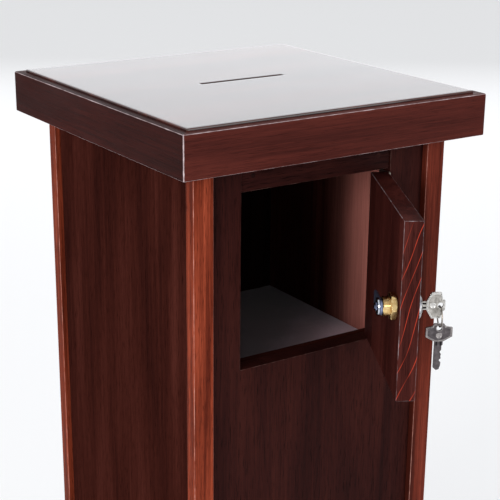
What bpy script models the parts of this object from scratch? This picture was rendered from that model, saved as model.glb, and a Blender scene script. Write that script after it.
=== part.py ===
"""Floor-standing donation box: a mahogany cabinet with a slotted top and a lockable door.

Units are metres and +Z is up. The origin is on the floor under the middle of the top, X runs to
the right and the door faces -Y. At rest the door stands open with its key in the lock.
"""

import math

import bmesh
import bpy
from mathutils import Matrix, Vector

# Clearances
GAP = 0.0003  # between pieces that touch
REACH = 0.01  # how far a cutter runs past the face that it opens

# Top and base
TOP_SIZE = 0.350
TOTAL_HEIGHT = 0.900
EDGE_THICKNESS = 0.020
TOP_EDGE_HEIGHT = 0.042
BASE_HEIGHT = 0.036
ARRIS_RADIUS = 0.0025
PANEL_RISE = 0.0025
PANEL_INSET = 0.0092
TOP_PANEL_THICKNESS = 0.018
SLOT_LENGTH = 0.100
SLOT_WIDTH = 0.005
SLOT_CENTRE = (0.001, 0.002)
SLOT_RELIEF = 0.006  # how much wider the slot is in the core board, all round

# Cabinet body
BODY_HALF_WIDTH = 0.1485
BODY_FRONT = -0.147
BODY_BACK = 0.151
POST_WIDTH = 0.022
POST_DEPTH = 0.014
POST_ARRIS = 0.0012
SIDE_RECESS = 0.006
FACE_RECESS = 0.007
FRONT_THICKNESS = 0.018
BOARD_THICKNESS = 0.016
BATTEN = 0.018

# Door opening, measured down from the underside of the top
OPENING_LEFT = -0.092
RAIL_DROP = 0.030
SILL_DROP = 0.2075
RAIL_RECESS = 0.002
STOP_PROUD = -0.001
STOP_THICKNESS = 0.010
STOP_BELOW_SILL = 0.020
FLOOR_DROP = 0.241
LINER_THICKNESS = 0.0025
FLOOR_THICKNESS = 0.012

# Door and its long hinge
OPEN_ANGLE = math.radians(61.5)
DOOR_WIDTH = 0.1727  # from the hinge axis to the free edge
DOOR_TOP_DROP = 0.032
DOOR_BOTTOM_DROP = 0.204
HINGE_X = 0.0823
HINGE_SETBACK = 0.0008  # the faces of door and panel lie this far behind the hinge axis
BARREL_RADIUS = 0.0020
PIN_RADIUS = 0.0009
LEAF_THICKNESS = 0.0008
LEAF_DEPTH = 0.016
LEAF_CLEARANCE = 0.0015
KNUCKLES = 9

# Cam lock, in its own frame: y = 0 is the door's outer face and +Y runs into the box
LOCK_FROM_HINGE = 0.1555
LOCK_DROP = 0.117
FLANGE_RADIUS = 0.0122
FLANGE_THICKNESS = 0.0045
BARREL_OUTER = 0.0092
BARREL_BORE = 0.0069
BARREL_END = 0.0315
PLUG_RADIUS = 0.0066
NUT_FLATS = 0.0225
NUT_THICKNESS = 0.0065
CAM_THICKNESS = 0.0022
CAM_WIDTH = 0.0145
CAM_REACH = 0.026
STUD_SIZE = 0.0074
WASHER_RADIUS = 0.0086
CAM_SCREW_RADIUS = 0.0042
KEEPER_SIZE = (0.0225, 0.0130, 0.044)
SCREW_HEAD = 0.0035
SCREW_SHANK = 0.0016
SCREW_LENGTH = 0.024

# Keys and ring
KEY_THICKNESS = 0.0020
KEY_LENGTH = 0.0455
KEY_HOLE_RADIUS = 0.0025
KEY_HOLE_INSET = 0.0042
KEY_BLADE = 0.0078
BOW_LENGTH = 0.017
BOW_HALF_WIDTH = 0.0123
KEY_NECK = 0.0053
RING_RADIUS = 0.0096
RING_WIRE = 0.0007

# Places worked out from the sizes above
HALF = TOP_SIZE / 2
UNDERSIDE = TOTAL_HEIGHT - PANEL_RISE - TOP_EDGE_HEIGHT
BODY_TOP = UNDERSIDE - GAP
BODY_BOTTOM = BASE_HEIGHT + GAP
INNER_HALF_WIDTH = BODY_HALF_WIDTH - POST_WIDTH
FRONT_FACE = BODY_FRONT + FACE_RECESS
FRONT_INSIDE = FRONT_FACE + FRONT_THICKNESS
BACK_INSIDE = BODY_BACK - FACE_RECESS - BOARD_THICKNESS
SILL = UNDERSIDE - SILL_DROP
RAIL_BOTTOM = UNDERSIDE - RAIL_DROP
HINGE_Y = FRONT_FACE - HINGE_SETBACK
LEAF_GAP = BARREL_RADIUS + GAP
OPENING_RIGHT = HINGE_X + LEAF_GAP
DOOR_BOTTOM = UNDERSIDE - DOOR_BOTTOM_DROP
DOOR_TOP = UNDERSIDE - DOOR_TOP_DROP
LOCK_HEIGHT = UNDERSIDE - LOCK_DROP
KEY_START = -FLANGE_THICKNESS - KEY_NECK - BOW_LENGTH  # the far end of the inserted key's bow

# Finishes: linear base colour, roughness, metallic
FINISHES = {
    "mahogany_board": ((0.036, 0.010, 0.008), 0.34, 0.0),
    "mahogany_edge": ((0.060, 0.017, 0.012), 0.30, 0.0),
    "mahogany_post": ((0.180, 0.030, 0.014), 0.34, 0.0),
    "mahogany_top": ((0.030, 0.009, 0.008), 0.18, 0.0),
    "inside_wood": ((0.120, 0.040, 0.030), 0.60, 0.0),
    "felt": ((0.090, 0.075, 0.095), 0.95, 0.0),
    "steel": ((0.560, 0.560, 0.580), 0.35, 1.0),
    "brass": ((0.600, 0.380, 0.130), 0.30, 1.0),
    "chrome": ((0.640, 0.650, 0.680), 0.12, 1.0),
    "nickel": ((0.560, 0.540, 0.500), 0.24, 1.0),
}


def clear_scene():
    """Remove whatever the scene holds."""
    for old in list(bpy.data.objects):
        bpy.data.objects.remove(old)


def make_collection(name, hidden=False):
    """Make a collection in the scene."""
    made = bpy.data.collections.new(name)
    made.hide_render = hidden
    bpy.context.scene.collection.children.link(made)
    return made


def finish_material(finish):
    """Return the material for a finish, made the first time that it is asked for."""
    found = bpy.data.materials.get(finish)
    if found:
        return found
    colour, roughness, metallic = FINISHES[finish]
    made = bpy.data.materials.new(finish)
    made.use_nodes = True
    shader = made.node_tree.nodes["Principled BSDF"]
    shader.inputs["Base Color"].default_value = (*colour, 1.0)
    shader.inputs["Roughness"].default_value = roughness
    shader.inputs["Metallic"].default_value = metallic
    return made


def add_object(name, mesh, finish=None, matrix=None, parent=None):
    """Put a mesh in the scene as a part, or as a cutter when it has no finish."""
    made = bpy.data.objects.new(name, mesh)
    if matrix is not None:
        made.matrix_basis = matrix
    made.parent = parent
    if finish is None:
        made.display_type = "WIRE"
        cutters.objects.link(made)
    else:
        if not mesh.materials:
            mesh.materials.append(finish_material(finish))
        parts.objects.link(made)
    return made


def mesh_of(made):
    """Turn an object's evaluated shape into a plain welded mesh and remove the object."""
    bpy.context.view_layer.update()
    evaluated = made.evaluated_get(bpy.context.evaluated_depsgraph_get())
    mesh = bpy.data.meshes.new_from_object(evaluated)
    bpy.data.objects.remove(made)
    shape = bmesh.new()
    shape.from_mesh(mesh)
    bmesh.ops.remove_doubles(shape, verts=shape.verts, dist=0.000001)
    bmesh.ops.recalc_face_normals(shape, faces=shape.faces)
    shape.to_mesh(mesh)
    shape.free()
    return mesh


def board(name, low, high, finish=None, parent=None, arris=0.0008):
    """Make a board from its lowest to its highest corner, with softened edges on a part."""
    low = Vector(low)
    high = Vector(high)
    shape = bmesh.new()
    bmesh.ops.create_cube(shape, size=1.0)
    bmesh.ops.scale(shape, vec=high - low, verts=shape.verts)
    mesh = bpy.data.meshes.new(name)
    shape.to_mesh(mesh)
    shape.free()
    made = add_object(name, mesh, finish, Matrix.Translation((low + high) / 2), parent)
    if finish and arris:
        bevel = made.modifiers.new("arris", "BEVEL")
        bevel.width = arris
        bevel.segments = 2
        bevel.limit_method = "ANGLE"
    return made


def cut(made, *tools):
    """Cut a part with each tool."""
    for tool in tools:
        boolean = made.modifiers.new("cut", "BOOLEAN")
        boolean.operation = "DIFFERENCE"
        boolean.object = tool


def turned_mesh(name, profile, steps, closed=False):
    """Turn a profile of (radius, height) points about Z; a closed profile makes a ring."""
    outline = bpy.data.meshes.new(name)
    edges = [(i, i + 1) for i in range(len(profile) - 1)]
    if closed:
        edges.append((len(profile) - 1, 0))
    outline.from_pydata([(radius, 0.0, height) for radius, height in profile], edges, [])
    made = add_object(name, outline)
    screw = made.modifiers.new("turn", "SCREW")
    screw.steps = steps
    screw.render_steps = steps
    screw.use_merge_vertices = True
    screw.merge_threshold = 0.00001
    mesh = mesh_of(made)
    mesh.name = name
    return mesh


def turned(name, profile, finish=None, matrix=None, parent=None, steps=32, closed=False):
    """Make a turned piece, shaded smooth but for its sharp edges."""
    mesh = turned_mesh(name, profile, steps, closed)
    if finish:
        mesh.shade_smooth()
        mesh.set_sharp_from_angle(angle=math.radians(35))
    return add_object(name, mesh, finish, matrix, parent)


def rounded(corners, radius, steps=3):
    """Replace each corner of a closed outline by an arc of the radius given for it."""
    points = []
    count = len(corners)
    for i in range(count):
        here = Vector(corners[i])
        back = (Vector(corners[i - 1]) - here).normalized()
        ahead = (Vector(corners[(i + 1) % count]) - here).normalized()
        size = radius[i] if isinstance(radius, (list, tuple)) else radius
        if size == 0:
            points.append(here)
            continue
        half = back.angle(ahead) / 2
        start = here + back * (size / math.tan(half))
        centre = here + (back + ahead).normalized() * (size / math.sin(half))
        turn = math.pi - 2 * half
        if back.x * ahead.y - back.y * ahead.x > 0:
            turn = -turn
        for k in range(steps + 1):
            points.append(centre + Matrix.Rotation(turn * k / steps, 2) @ (start - centre))
    return points


def circle(centre, radius, steps=24):
    """Return the points of a circle."""
    turns = [2 * math.pi * k / steps for k in range(steps)]
    return [(centre[0] + radius * math.cos(t), centre[1] + radius * math.sin(t)) for t in turns]


def plate_mesh(name, outline, thickness, holes=()):
    """Make a flat plate of an outline in XY, with its thickness shared about z = 0."""
    curve = bpy.data.curves.new(name, "CURVE")
    curve.dimensions = "2D"
    curve.fill_mode = "BOTH"
    curve.extrude = thickness / 2
    for points in (outline, *holes):
        spline = curve.splines.new("POLY")
        spline.points.add(len(points) - 1)
        for point, spot in zip(spline.points, points):
            point.co = (spot[0], spot[1], 0.0, 1.0)
        spline.use_cyclic_u = True
    made = bpy.data.objects.new(name, curve)
    cutters.objects.link(made)
    mesh = mesh_of(made)
    bpy.data.curves.remove(curve)
    mesh.name = name
    return mesh


def aimed(spot, direction):
    """Return the matrix that takes +Z to a direction at a spot."""
    return Matrix.Translation(spot) @ Vector(direction).to_track_quat("Z", "Y").to_matrix().to_4x4()


def fasteners(name, profile, hole, places, finish, parent=None, steps=12):
    """Make one turned fastener at each place and return the tools that drill for them.

    A place is a spot at the fastener's head and the direction that it is driven in.
    """
    body = turned_mesh(name, profile, steps)
    body.shade_smooth()
    body.set_sharp_from_angle(angle=math.radians(35))
    drill = turned_mesh(name + "_drill", hole, steps)
    tools = []
    for index, (spot, direction) in enumerate(places, 1):
        matrix = aimed(spot, direction)
        add_object(f"{name}_{index}", body, finish, matrix, parent)
        tools.append(add_object(f"{name}_drill_{index}", drill, matrix=matrix, parent=parent))
    return tools


def mitred_edges(name, height, low, rebate=None):
    """Frame a square board with four mitred edge strips.

    A rebate is (distance from the outer face, height of its floor) for a board let into the top.
    """
    corners = [(0, 0), (EDGE_THICKNESS, 0), (EDGE_THICKNESS, height), (0, height)]
    arris = [ARRIS_RADIUS, 0, 0, ARRIS_RADIUS]
    if rebate:
        inset, floor = rebate
        corners[2:3] = [(EDGE_THICKNESS, floor), (inset, floor), (inset, height)]
        arris[2:3] = [0, 0, 0]
    mesh = plate_mesh(name, rounded(corners, arris, 4), TOP_SIZE)
    shape = bmesh.new()
    shape.from_mesh(mesh)
    for end in (1, -1):
        bmesh.ops.bisect_plane(
            shape,
            geom=shape.verts[:] + shape.edges[:] + shape.faces[:],
            plane_co=(0, 0, end * (HALF - GAP / 2)),
            plane_no=(1, 0, end),
            clear_outer=True,
        )
        open_edges = [edge for edge in shape.edges if edge.is_boundary]
        bmesh.ops.contextual_create(shape, geom=open_edges)
    bmesh.ops.recalc_face_normals(shape, faces=shape.faces)
    shape.to_mesh(mesh)
    shape.free()
    upright = Matrix(((0, 0, 1, 0), (1, 0, 0, -HALF), (0, 1, 0, low), (0, 0, 0, 1)))
    for quarter, side in enumerate(("front", "right", "back", "left")):
        turn = Matrix.Rotation(quarter * math.pi / 2, 4, "Z")
        add_object(f"{name}_{side}", mesh, "mahogany_edge", turn @ upright)


def square_board(name, size, low, high, finish, arris=0.0):
    """Make a square board centred over the origin."""
    return board(name, (-size / 2, -size / 2, low), (size / 2, size / 2, high), finish, arris=arris)


def batten_frame(name, low, high):
    """Line the inside of the cabinet with four battens."""
    side_high = INNER_HALF_WIDTH - GAP
    front = FRONT_INSIDE + GAP
    back = BACK_INSIDE - GAP
    for side, sign in (("left", -1), ("right", 1)):
        low_x, high_x = sorted((sign * side_high, sign * (side_high - BATTEN)))
        board(f"{name}_{side}", (low_x, front, low), (high_x, back, high), "inside_wood")
    reach = side_high - BATTEN - GAP
    for side, near, far in (("front", front, front + BATTEN), ("back", back - BATTEN, back)):
        board(f"{name}_{side}", (-reach, near, low), (reach, far, high), "inside_wood")


def build_top():
    """Build the slotted top: a raised panel in a mitred frame over a core board."""
    panel_bottom = TOTAL_HEIGHT - TOP_PANEL_THICKNESS
    panel = square_board(
        "top_panel",
        TOP_SIZE - 2 * PANEL_INSET,
        panel_bottom,
        TOTAL_HEIGHT,
        "mahogany_top",
        arris=0.001,
    )
    core = square_board(
        "top_core_board",
        TOP_SIZE - 2 * (EDGE_THICKNESS + GAP),
        UNDERSIDE,
        panel_bottom - GAP,
        "inside_wood",
    )
    for name, piece, relief in (("slot", panel, 0.0), ("slot_relief", core, SLOT_RELIEF)):
        half_length = SLOT_LENGTH / 2 + relief
        half_width = SLOT_WIDTH / 2 + relief
        x, y = SLOT_CENTRE
        low = (x - half_length, y - half_width, UNDERSIDE - REACH)
        high = (x + half_length, y + half_width, TOTAL_HEIGHT + REACH)
        cut(piece, board(name, low, high))
    rebate = (PANEL_INSET - GAP, panel_bottom - GAP - UNDERSIDE)
    mitred_edges("top_edge", TOP_EDGE_HEIGHT, UNDERSIDE, rebate)
    batten_frame("top_batten", BODY_TOP - BATTEN, BODY_TOP)


def build_base():
    """Build the plain square base that the cabinet stands on."""
    square_board(
        "base_board", TOP_SIZE - 2 * (EDGE_THICKNESS + GAP), 0.0, BASE_HEIGHT, "inside_wood"
    )
    mitred_edges("base_edge", BASE_HEIGHT, 0.0)
    batten_frame("base_batten", BODY_BOTTOM, BODY_BOTTOM + BATTEN)


def build_carcass():
    """Build the corner posts and the side and back panels."""
    for side, sign in (("left", -1), ("right", 1)):
        outer = sign * BODY_HALF_WIDTH
        inner = sign * INNER_HALF_WIDTH
        low_x, high_x = sorted((outer, inner))
        for end, near in (("front", BODY_FRONT), ("back", BODY_BACK - POST_DEPTH)):
            board(
                f"corner_post_{end}_{side}",
                (low_x, near, BODY_BOTTOM),
                (high_x, near + POST_DEPTH, BODY_TOP),
                "mahogany_post",
                arris=POST_ARRIS,
            )
        low_x, high_x = sorted((outer - sign * SIDE_RECESS, inner))
        board(
            f"side_panel_{side}",
            (low_x, BODY_FRONT + POST_DEPTH + GAP, BODY_BOTTOM),
            (high_x, BODY_BACK - POST_DEPTH - GAP, BODY_TOP),
            "mahogany_board",
        )
    reach = INNER_HALF_WIDTH - GAP
    board(
        "back_panel",
        (-reach, BACK_INSIDE, BODY_BOTTOM),
        (reach, BACK_INSIDE + BOARD_THICKNESS, BODY_TOP),
        "mahogany_board",
    )


def build_front(drills):
    """Build the front panel with its opening, the rail over it and the stop behind the sill."""
    reach = INNER_HALF_WIDTH - GAP
    panel = board(
        "front_panel",
        (-reach, FRONT_FACE, BODY_BOTTOM),
        (reach, FRONT_INSIDE, BODY_TOP),
        "mahogany_board",
    )
    opening = board(
        "opening",
        (OPENING_LEFT, FRONT_FACE - REACH, SILL),
        (OPENING_RIGHT, FRONT_INSIDE + REACH, BODY_TOP + REACH),
    )
    cut(panel, opening, *drills)
    rail = board(
        "top_rail",
        (OPENING_LEFT + GAP, FRONT_FACE + RAIL_RECESS, RAIL_BOTTOM),
        (OPENING_RIGHT - GAP, FRONT_INSIDE, BODY_TOP),
        "mahogany_board",
    )
    middle = (RAIL_BOTTOM + BODY_TOP) / 2
    face = FRONT_FACE + RAIL_RECESS
    spots = [(x, face, middle) for x in (OPENING_LEFT + 0.014, OPENING_RIGHT - 0.014)]
    plug = [(0, 0.006), (0.0025, 0.006), (0.0025, 0), (0, 0)]
    hole = [(0, 0.0063), (0.0028, 0.0063), (0.0028, -GAP), (0, -GAP)]
    places = [(spot, (0, 1, 0)) for spot in spots]
    cut(rail, *fasteners("rail_plug", plug, hole, places, "mahogany_post", steps=16))
    board(
        "sill_stop",
        (-reach, FRONT_INSIDE + GAP, SILL - STOP_BELOW_SILL),
        (reach, FRONT_INSIDE + GAP + STOP_THICKNESS, SILL + STOP_PROUD),
        "mahogany_board",
    )


def build_compartment():
    """Build the floor of the locked compartment, its liner and the bearers under it."""
    side = INNER_HALF_WIDTH - GAP
    front = FRONT_INSIDE + GAP
    back = BACK_INSIDE - GAP
    liner_top = UNDERSIDE - FLOOR_DROP
    floor_top = liner_top - LINER_THICKNESS - GAP
    floor_bottom = floor_top - FLOOR_THICKNESS
    board(
        "floor_liner",
        (-side, front, floor_top + GAP),
        (side, back, liner_top),
        "felt",
        arris=0.0005,
    )
    board("compartment_floor", (-side, front, floor_bottom), (side, back, floor_top), "inside_wood")
    for name, sign in (("left", -1), ("right", 1)):
        low_x, high_x = sorted((sign * side, sign * (side - BATTEN)))
        board(
            f"floor_bearer_{name}",
            (low_x, front, floor_bottom - GAP - BATTEN),
            (high_x, back, floor_bottom - GAP),
            "inside_wood",
        )


def build_keeper():
    """Build the block that the cam locks behind, and return the tools that drill for it."""
    width, depth, height = KEEPER_SIZE
    right = OPENING_LEFT - 0.0005
    near = FRONT_INSIDE + GAP
    keeper = board(
        "lock_keeper",
        (right - width, near, LOCK_HEIGHT - height / 2),
        (right, near + depth, LOCK_HEIGHT + height / 2),
        "inside_wood",
    )
    places = []
    for offset in (-0.015, 0.015):
        spot = (right - width / 2, near + depth - GAP, LOCK_HEIGHT + offset)
        places.append((spot, (0, -1, 0)))
    head, shank, tip = SCREW_HEAD, SCREW_SHANK, SCREW_LENGTH
    neck = head - shank
    body = [(0, tip), (shank, tip - shank), (shank, neck), (head, 0), (0, 0)]
    hole = [
        (0, tip + GAP),
        (shank + GAP, tip + GAP),
        (shank + GAP, neck),
        (head + 2 * GAP, 0),
        (head + 2 * GAP, -2 * GAP),
        (0, -2 * GAP),
    ]
    tools = fasteners("keeper_screw", body, hole, places, "steel")
    cut(keeper, *tools)
    return tools


def knuckle_spans():
    """Return the height range of each knuckle of the hinge, from the bottom up."""
    low = DOOR_BOTTOM + LEAF_CLEARANCE
    high = DOOR_TOP - LEAF_CLEARANCE
    pitch = (high - low) / KNUCKLES
    return [(low + i * pitch, low + (i + 1) * pitch) for i in range(KNUCKLES)]


def hinge_leaf(name, side, others, parent, drills):
    """Make one leaf of the hinge: a plate rolled into a barrel, cut away at the other's knuckles.

    Side is -1 for the leaf on the door and 1 for the leaf on the front panel.
    """
    spans = knuckle_spans()
    bottom, top = spans[0][0], spans[-1][1]
    inner = BARREL_RADIUS - LEAF_THICKNESS
    first = math.acos(inner / BARREL_RADIUS)
    turns = [first + (2 * math.pi - first) * k / 20 for k in range(21)]
    outline = [(BARREL_RADIUS, LEAF_DEPTH), (inner, LEAF_DEPTH)]
    outline += [(BARREL_RADIUS * math.cos(t), BARREL_RADIUS * math.sin(t)) for t in turns]
    bore = circle((0, 0), PIN_RADIUS + GAP, 20)
    mirrored = [[(side * x, y) for x, y in points] for points in (outline, bore)]
    mesh = plate_mesh(name, mirrored[0], top - bottom, mirrored[1:])
    middle = Matrix.Translation((0, 0, (top + bottom) / 2))
    leaf = add_object(name, mesh, "steel", middle, parent)
    wide = BARREL_RADIUS + REACH
    for index in others:
        low, high = spans[index]
        window = board(
            f"{name}_window",
            (-wide, -wide, low - GAP),
            (wide, BARREL_RADIUS + GAP, high + GAP),
            parent=parent,
        )
        cut(leaf, window)
    cut(leaf, *drills)


def hinge_screws(name, side, parent):
    """Make the three flat-head screws of one leaf and return the tools that drill for them."""
    heights = [DOOR_BOTTOM + (DOOR_TOP - DOOR_BOTTOM) * part for part in (0.12, 0.5, 0.88)]
    head_x = side * (BARREL_RADIUS - LEAF_THICKNESS - GAP)
    places = [((head_x, 0.0095, height), (side, 0, 0)) for height in heights]
    body = [(0, 0.011), (0.0011, 0.010), (0.0011, 0), (0.0023, 0), (0.0023, -0.0005), (0, -0.0005)]
    hole = [(0, 0.0115), (0.0014, 0.0115), (0.0014, -0.0002), (0, -0.0002)]
    return fasteners(name, body, hole, places, "steel", parent)


def build_hinge(fixed_pivot, door_pivot):
    """Build the long hinge and return the drilling tools for the front panel and the door."""
    body_drills = hinge_screws("hinge_screw_body", 1, fixed_pivot)
    door_drills = hinge_screws("hinge_screw_door", -1, door_pivot)
    hinge_leaf("hinge_leaf_body", 1, range(1, KNUCKLES, 2), fixed_pivot, body_drills)
    hinge_leaf("hinge_leaf_door", -1, range(0, KNUCKLES, 2), door_pivot, door_drills)
    spans = knuckle_spans()
    top = spans[-1][1] + 0.0005
    bottom = spans[0][0] - 0.0005
    pin = [(0, top), (PIN_RADIUS, top), (PIN_RADIUS, bottom), (0, bottom)]
    turned("hinge_pin", pin, "steel", parent=fixed_pivot, steps=20)
    return body_drills, door_drills


def into_box(depth=0.0):
    """Return the matrix that takes a turned piece's +Z to the lock's inward axis."""
    return Matrix.Translation((0, depth, 0)) @ Matrix.Rotation(-math.pi / 2, 4, "X")


def build_door(door_pivot, lock_pivot, hinge_drills):
    """Build the door as one solid board with the hole for its lock."""
    door = board(
        "door",
        (-DOOR_WIDTH, HINGE_SETBACK, DOOR_BOTTOM),
        (-LEAF_GAP, HINGE_SETBACK + FRONT_THICKNESS, DOOR_TOP),
        "mahogany_board",
        door_pivot,
        arris=0.001,
    )
    radius = BARREL_OUTER + GAP
    profile = [(0, 0.03), (radius, 0.03), (radius, -0.01), (0, -0.01)]
    hole = turned("lock_hole", profile, matrix=into_box(), parent=lock_pivot)
    cut(door, hole, *hinge_drills)


def build_lock(lock_pivot):
    """Build the cam lock: its body and nut on the door, and the plug and cam that turn."""
    flange_face = -FLANGE_THICKNESS
    body = [
        (BARREL_OUTER, BARREL_END),
        (BARREL_OUTER, -GAP),
        (FLANGE_RADIUS, -GAP),
        (FLANGE_RADIUS, -0.0018),
        (FLANGE_RADIUS - 0.0020, flange_face),
        (BARREL_BORE, flange_face),
        (BARREL_BORE, BARREL_END),
    ]
    turned("lock_body", body, "nickel", into_box(), lock_pivot, steps=36, closed=True)

    nut_start = FRONT_THICKNESS + GAP
    corner = NUT_FLATS / math.sqrt(3)
    hexagon = [(corner * math.cos(t), corner * math.sin(t)) for t in
               (math.pi * k / 3 for k in range(6))]
    hole = circle((0, 0), BARREL_OUTER + GAP, 30)
    nut = plate_mesh("lock_nut", hexagon, NUT_THICKNESS, [hole])
    add_object("lock_nut", nut, "brass", into_box(nut_start + NUT_THICKNESS / 2), lock_pivot)

    plug_face = flange_face + GAP
    plug_end = BARREL_END - GAP
    stud_end = plug_end + CAM_THICKNESS + 3 * GAP
    half = STUD_SIZE / 2
    plug = turned(
        "lock_plug",
        [(0, plug_end), (PLUG_RADIUS, plug_end), (PLUG_RADIUS, plug_face), (0, plug_face)],
        "nickel",
        into_box(),
        lock_pivot,
    )
    stud = board(
        "stud",
        (-half, plug_end - 0.002, -half),
        (half, stud_end, half),
        parent=lock_pivot,
    )
    union = plug.modifiers.new("stud", "BOOLEAN")
    union.operation = "UNION"
    union.object = stud
    keyway = board(
        "keyway",
        (-KEY_THICKNESS / 2 - GAP, plug_face - REACH, -KEY_BLADE / 2 - GAP),
        (KEY_THICKNESS / 2 + GAP, KEY_START + KEY_LENGTH + 2 * GAP, KEY_BLADE / 2 + GAP),
        parent=lock_pivot,
    )
    thread = 0.0015
    screw_tip = plug_end - 0.008
    screw_hole = turned(
        "cam_screw_hole",
        [
            (0, stud_end + REACH),
            (thread + GAP, stud_end + REACH),
            (thread + GAP, screw_tip - GAP),
            (0, screw_tip - GAP),
        ],
        matrix=into_box(),
        parent=lock_pivot,
        steps=16,
    )
    cut(plug, keyway, screw_hole)

    cam_middle = BARREL_END + GAP + CAM_THICKNESS / 2
    square = [(x * (half + GAP), y * (half + GAP)) for x, y in
              ((-1, -1), (1, -1), (1, 1), (-1, 1))]
    side = CAM_WIDTH / 2
    outline = rounded(
        [(-0.0085, -side), (CAM_REACH, -side), (CAM_REACH, side), (-0.0085, side)],
        [0.006, 0.003, 0.003, 0.006],
        5,
    )
    cam = plate_mesh("lock_cam", outline, CAM_THICKNESS, [square])
    add_object("lock_cam", cam, "chrome", into_box(cam_middle), lock_pivot)

    washer_start = stud_end + GAP
    washer_end = washer_start + 0.0012
    turned(
        "cam_washer",
        [
            (WASHER_RADIUS - 0.0006, washer_end),
            (WASHER_RADIUS, washer_start),
            (thread + GAP, washer_start),
            (thread + GAP, washer_end),
        ],
        "chrome",
        into_box(),
        lock_pivot,
        steps=28,
        closed=True,
    )
    head = washer_end + GAP
    screw = turned(
        "cam_screw",
        [
            (0, head + 0.0026),
            (CAM_SCREW_RADIUS * 0.6, head + 0.0024),
            (CAM_SCREW_RADIUS, head + 0.0012),
            (CAM_SCREW_RADIUS, head),
            (thread, head),
            (thread, screw_tip),
            (0, screw_tip),
        ],
        "chrome",
        into_box(),
        lock_pivot,
        steps=24,
    )
    for name, long_x in (("driver_slot_a", True), ("driver_slot_b", False)):
        wide, narrow = 0.0026, 0.0005
        reach_x, reach_z = (wide, narrow) if long_x else (narrow, wide)
        tool = board(
            name,
            (-reach_x, head + 0.0010, -reach_z),
            (reach_x, head + 0.0040, reach_z),
            parent=lock_pivot,
        )
        cut(screw, tool)


def key_mesh():
    """Make the key: X across it, Y from the end of its bow to its tip."""
    blade = KEY_BLADE / 2
    shoulder, neck = 0.0044, 0.0062
    left = [(-blade, BOW_LENGTH), (-blade, KEY_LENGTH - 0.0025), (-0.0012, KEY_LENGTH)]
    cuts = (0.0010, 0.0022, 0.0014, 0.0026, 0.0012)
    right = []
    start = BOW_LENGTH + 0.0045
    pitch = (KEY_LENGTH - 0.0035 - start) / len(cuts)
    for index, depth in enumerate(reversed(cuts)):
        end = KEY_LENGTH - 0.0035 - index * pitch
        right += [(blade - depth, end - 0.35 * pitch), (blade - depth, end - 0.65 * pitch)]
        right.append((blade - min(cuts), end - pitch))
    outline = [
        (shoulder, BOW_LENGTH),
        (BOW_HALF_WIDTH, 0.0125),
        (BOW_HALF_WIDTH, 0.0038),
        (neck, 0.0026),
        (shoulder, 0.0),
        (-shoulder, 0.0),
        (-neck, 0.0026),
        (-BOW_HALF_WIDTH, 0.0038),
        (-BOW_HALF_WIDTH, 0.0125),
        (-shoulder, BOW_LENGTH),
        *left,
        (0.0014, KEY_LENGTH - 0.0008),
        *right,
        (blade, start - 0.001),
        (blade, BOW_LENGTH),
    ]
    hole = circle((0, KEY_HOLE_INSET), KEY_HOLE_RADIUS, 20)
    return plate_mesh("key", outline, KEY_THICKNESS, [hole])


def build_keys(lock_pivot):
    """Build the key in the lock, the ring through its bow and the spare key on the ring."""
    mesh = key_mesh()
    sideways = Matrix.Rotation(-math.pi / 2, 4, "Y")
    start = Matrix.Translation((0, KEY_START, 0))
    add_object("key_inserted", mesh, "nickel", start @ sideways, lock_pivot)

    wire_height = -KEY_HOLE_RADIUS + GAP + RING_WIRE
    ring_pivot = pivot("ring_pivot", (0, KEY_START + KEY_HOLE_INSET, wire_height), lock_pivot)
    bpy.ops.mesh.primitive_torus_add(
        major_radius=RING_RADIUS,
        minor_radius=RING_WIRE,
        major_segments=36,
        minor_segments=8,
    )
    torus = bpy.context.object
    ring_mesh = torus.data
    bpy.data.objects.remove(torus)
    ring_mesh.shade_smooth()
    hang = Matrix.Translation((0, 0, -RING_RADIUS)) @ Matrix.Rotation(math.pi / 2, 4, "X")
    add_object("key_ring", ring_mesh, "steel", hang, ring_pivot)

    spare_pivot = pivot("spare_pivot", (0, 0, -2 * RING_RADIUS), ring_pivot)
    rise = RING_WIRE + GAP - KEY_HOLE_RADIUS + KEY_HOLE_INSET
    hung = Matrix(((0, 0, 1, 0), (-1, 0, 0, 0), (0, -1, 0, rise), (0, 0, 0, 1)))
    add_object("spare_key", mesh, "nickel", hung, spare_pivot)


def pivot(name, spot, parent=None, turn=0.0):
    """Put an empty on a joint's axis."""
    made = bpy.data.objects.new(name, None)
    made.location = spot
    made.rotation_euler.z = turn
    made.parent = parent
    parts.objects.link(made)
    return made


clear_scene()
parts = make_collection("donation_box")
cutters = make_collection("cutters", hidden=True)

fixed_hinge = pivot("fixed_hinge", (HINGE_X, HINGE_Y, 0.0))
door_hinge = pivot("door_hinge", (HINGE_X, HINGE_Y, 0.0), turn=OPEN_ANGLE)
lock_axis = pivot("lock_axis", (-LOCK_FROM_HINGE, HINGE_SETBACK, LOCK_HEIGHT), door_hinge)

build_top()
build_base()
build_carcass()
panel_drills, door_drills = build_hinge(fixed_hinge, door_hinge)
build_front(panel_drills + build_keeper())
build_compartment()
build_door(door_hinge, lock_axis, door_drills)
build_lock(lock_axis)
build_keys(lock_axis)
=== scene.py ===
"""The looks of a hardwood donation box with its cash door open, laid over the CAD frame."""

import logging
import math
from dataclasses import dataclass, replace
from enum import Enum
from typing import Optional, Sequence, Union

import bpy
import numpy as np
from mathutils import Matrix, Vector


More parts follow.
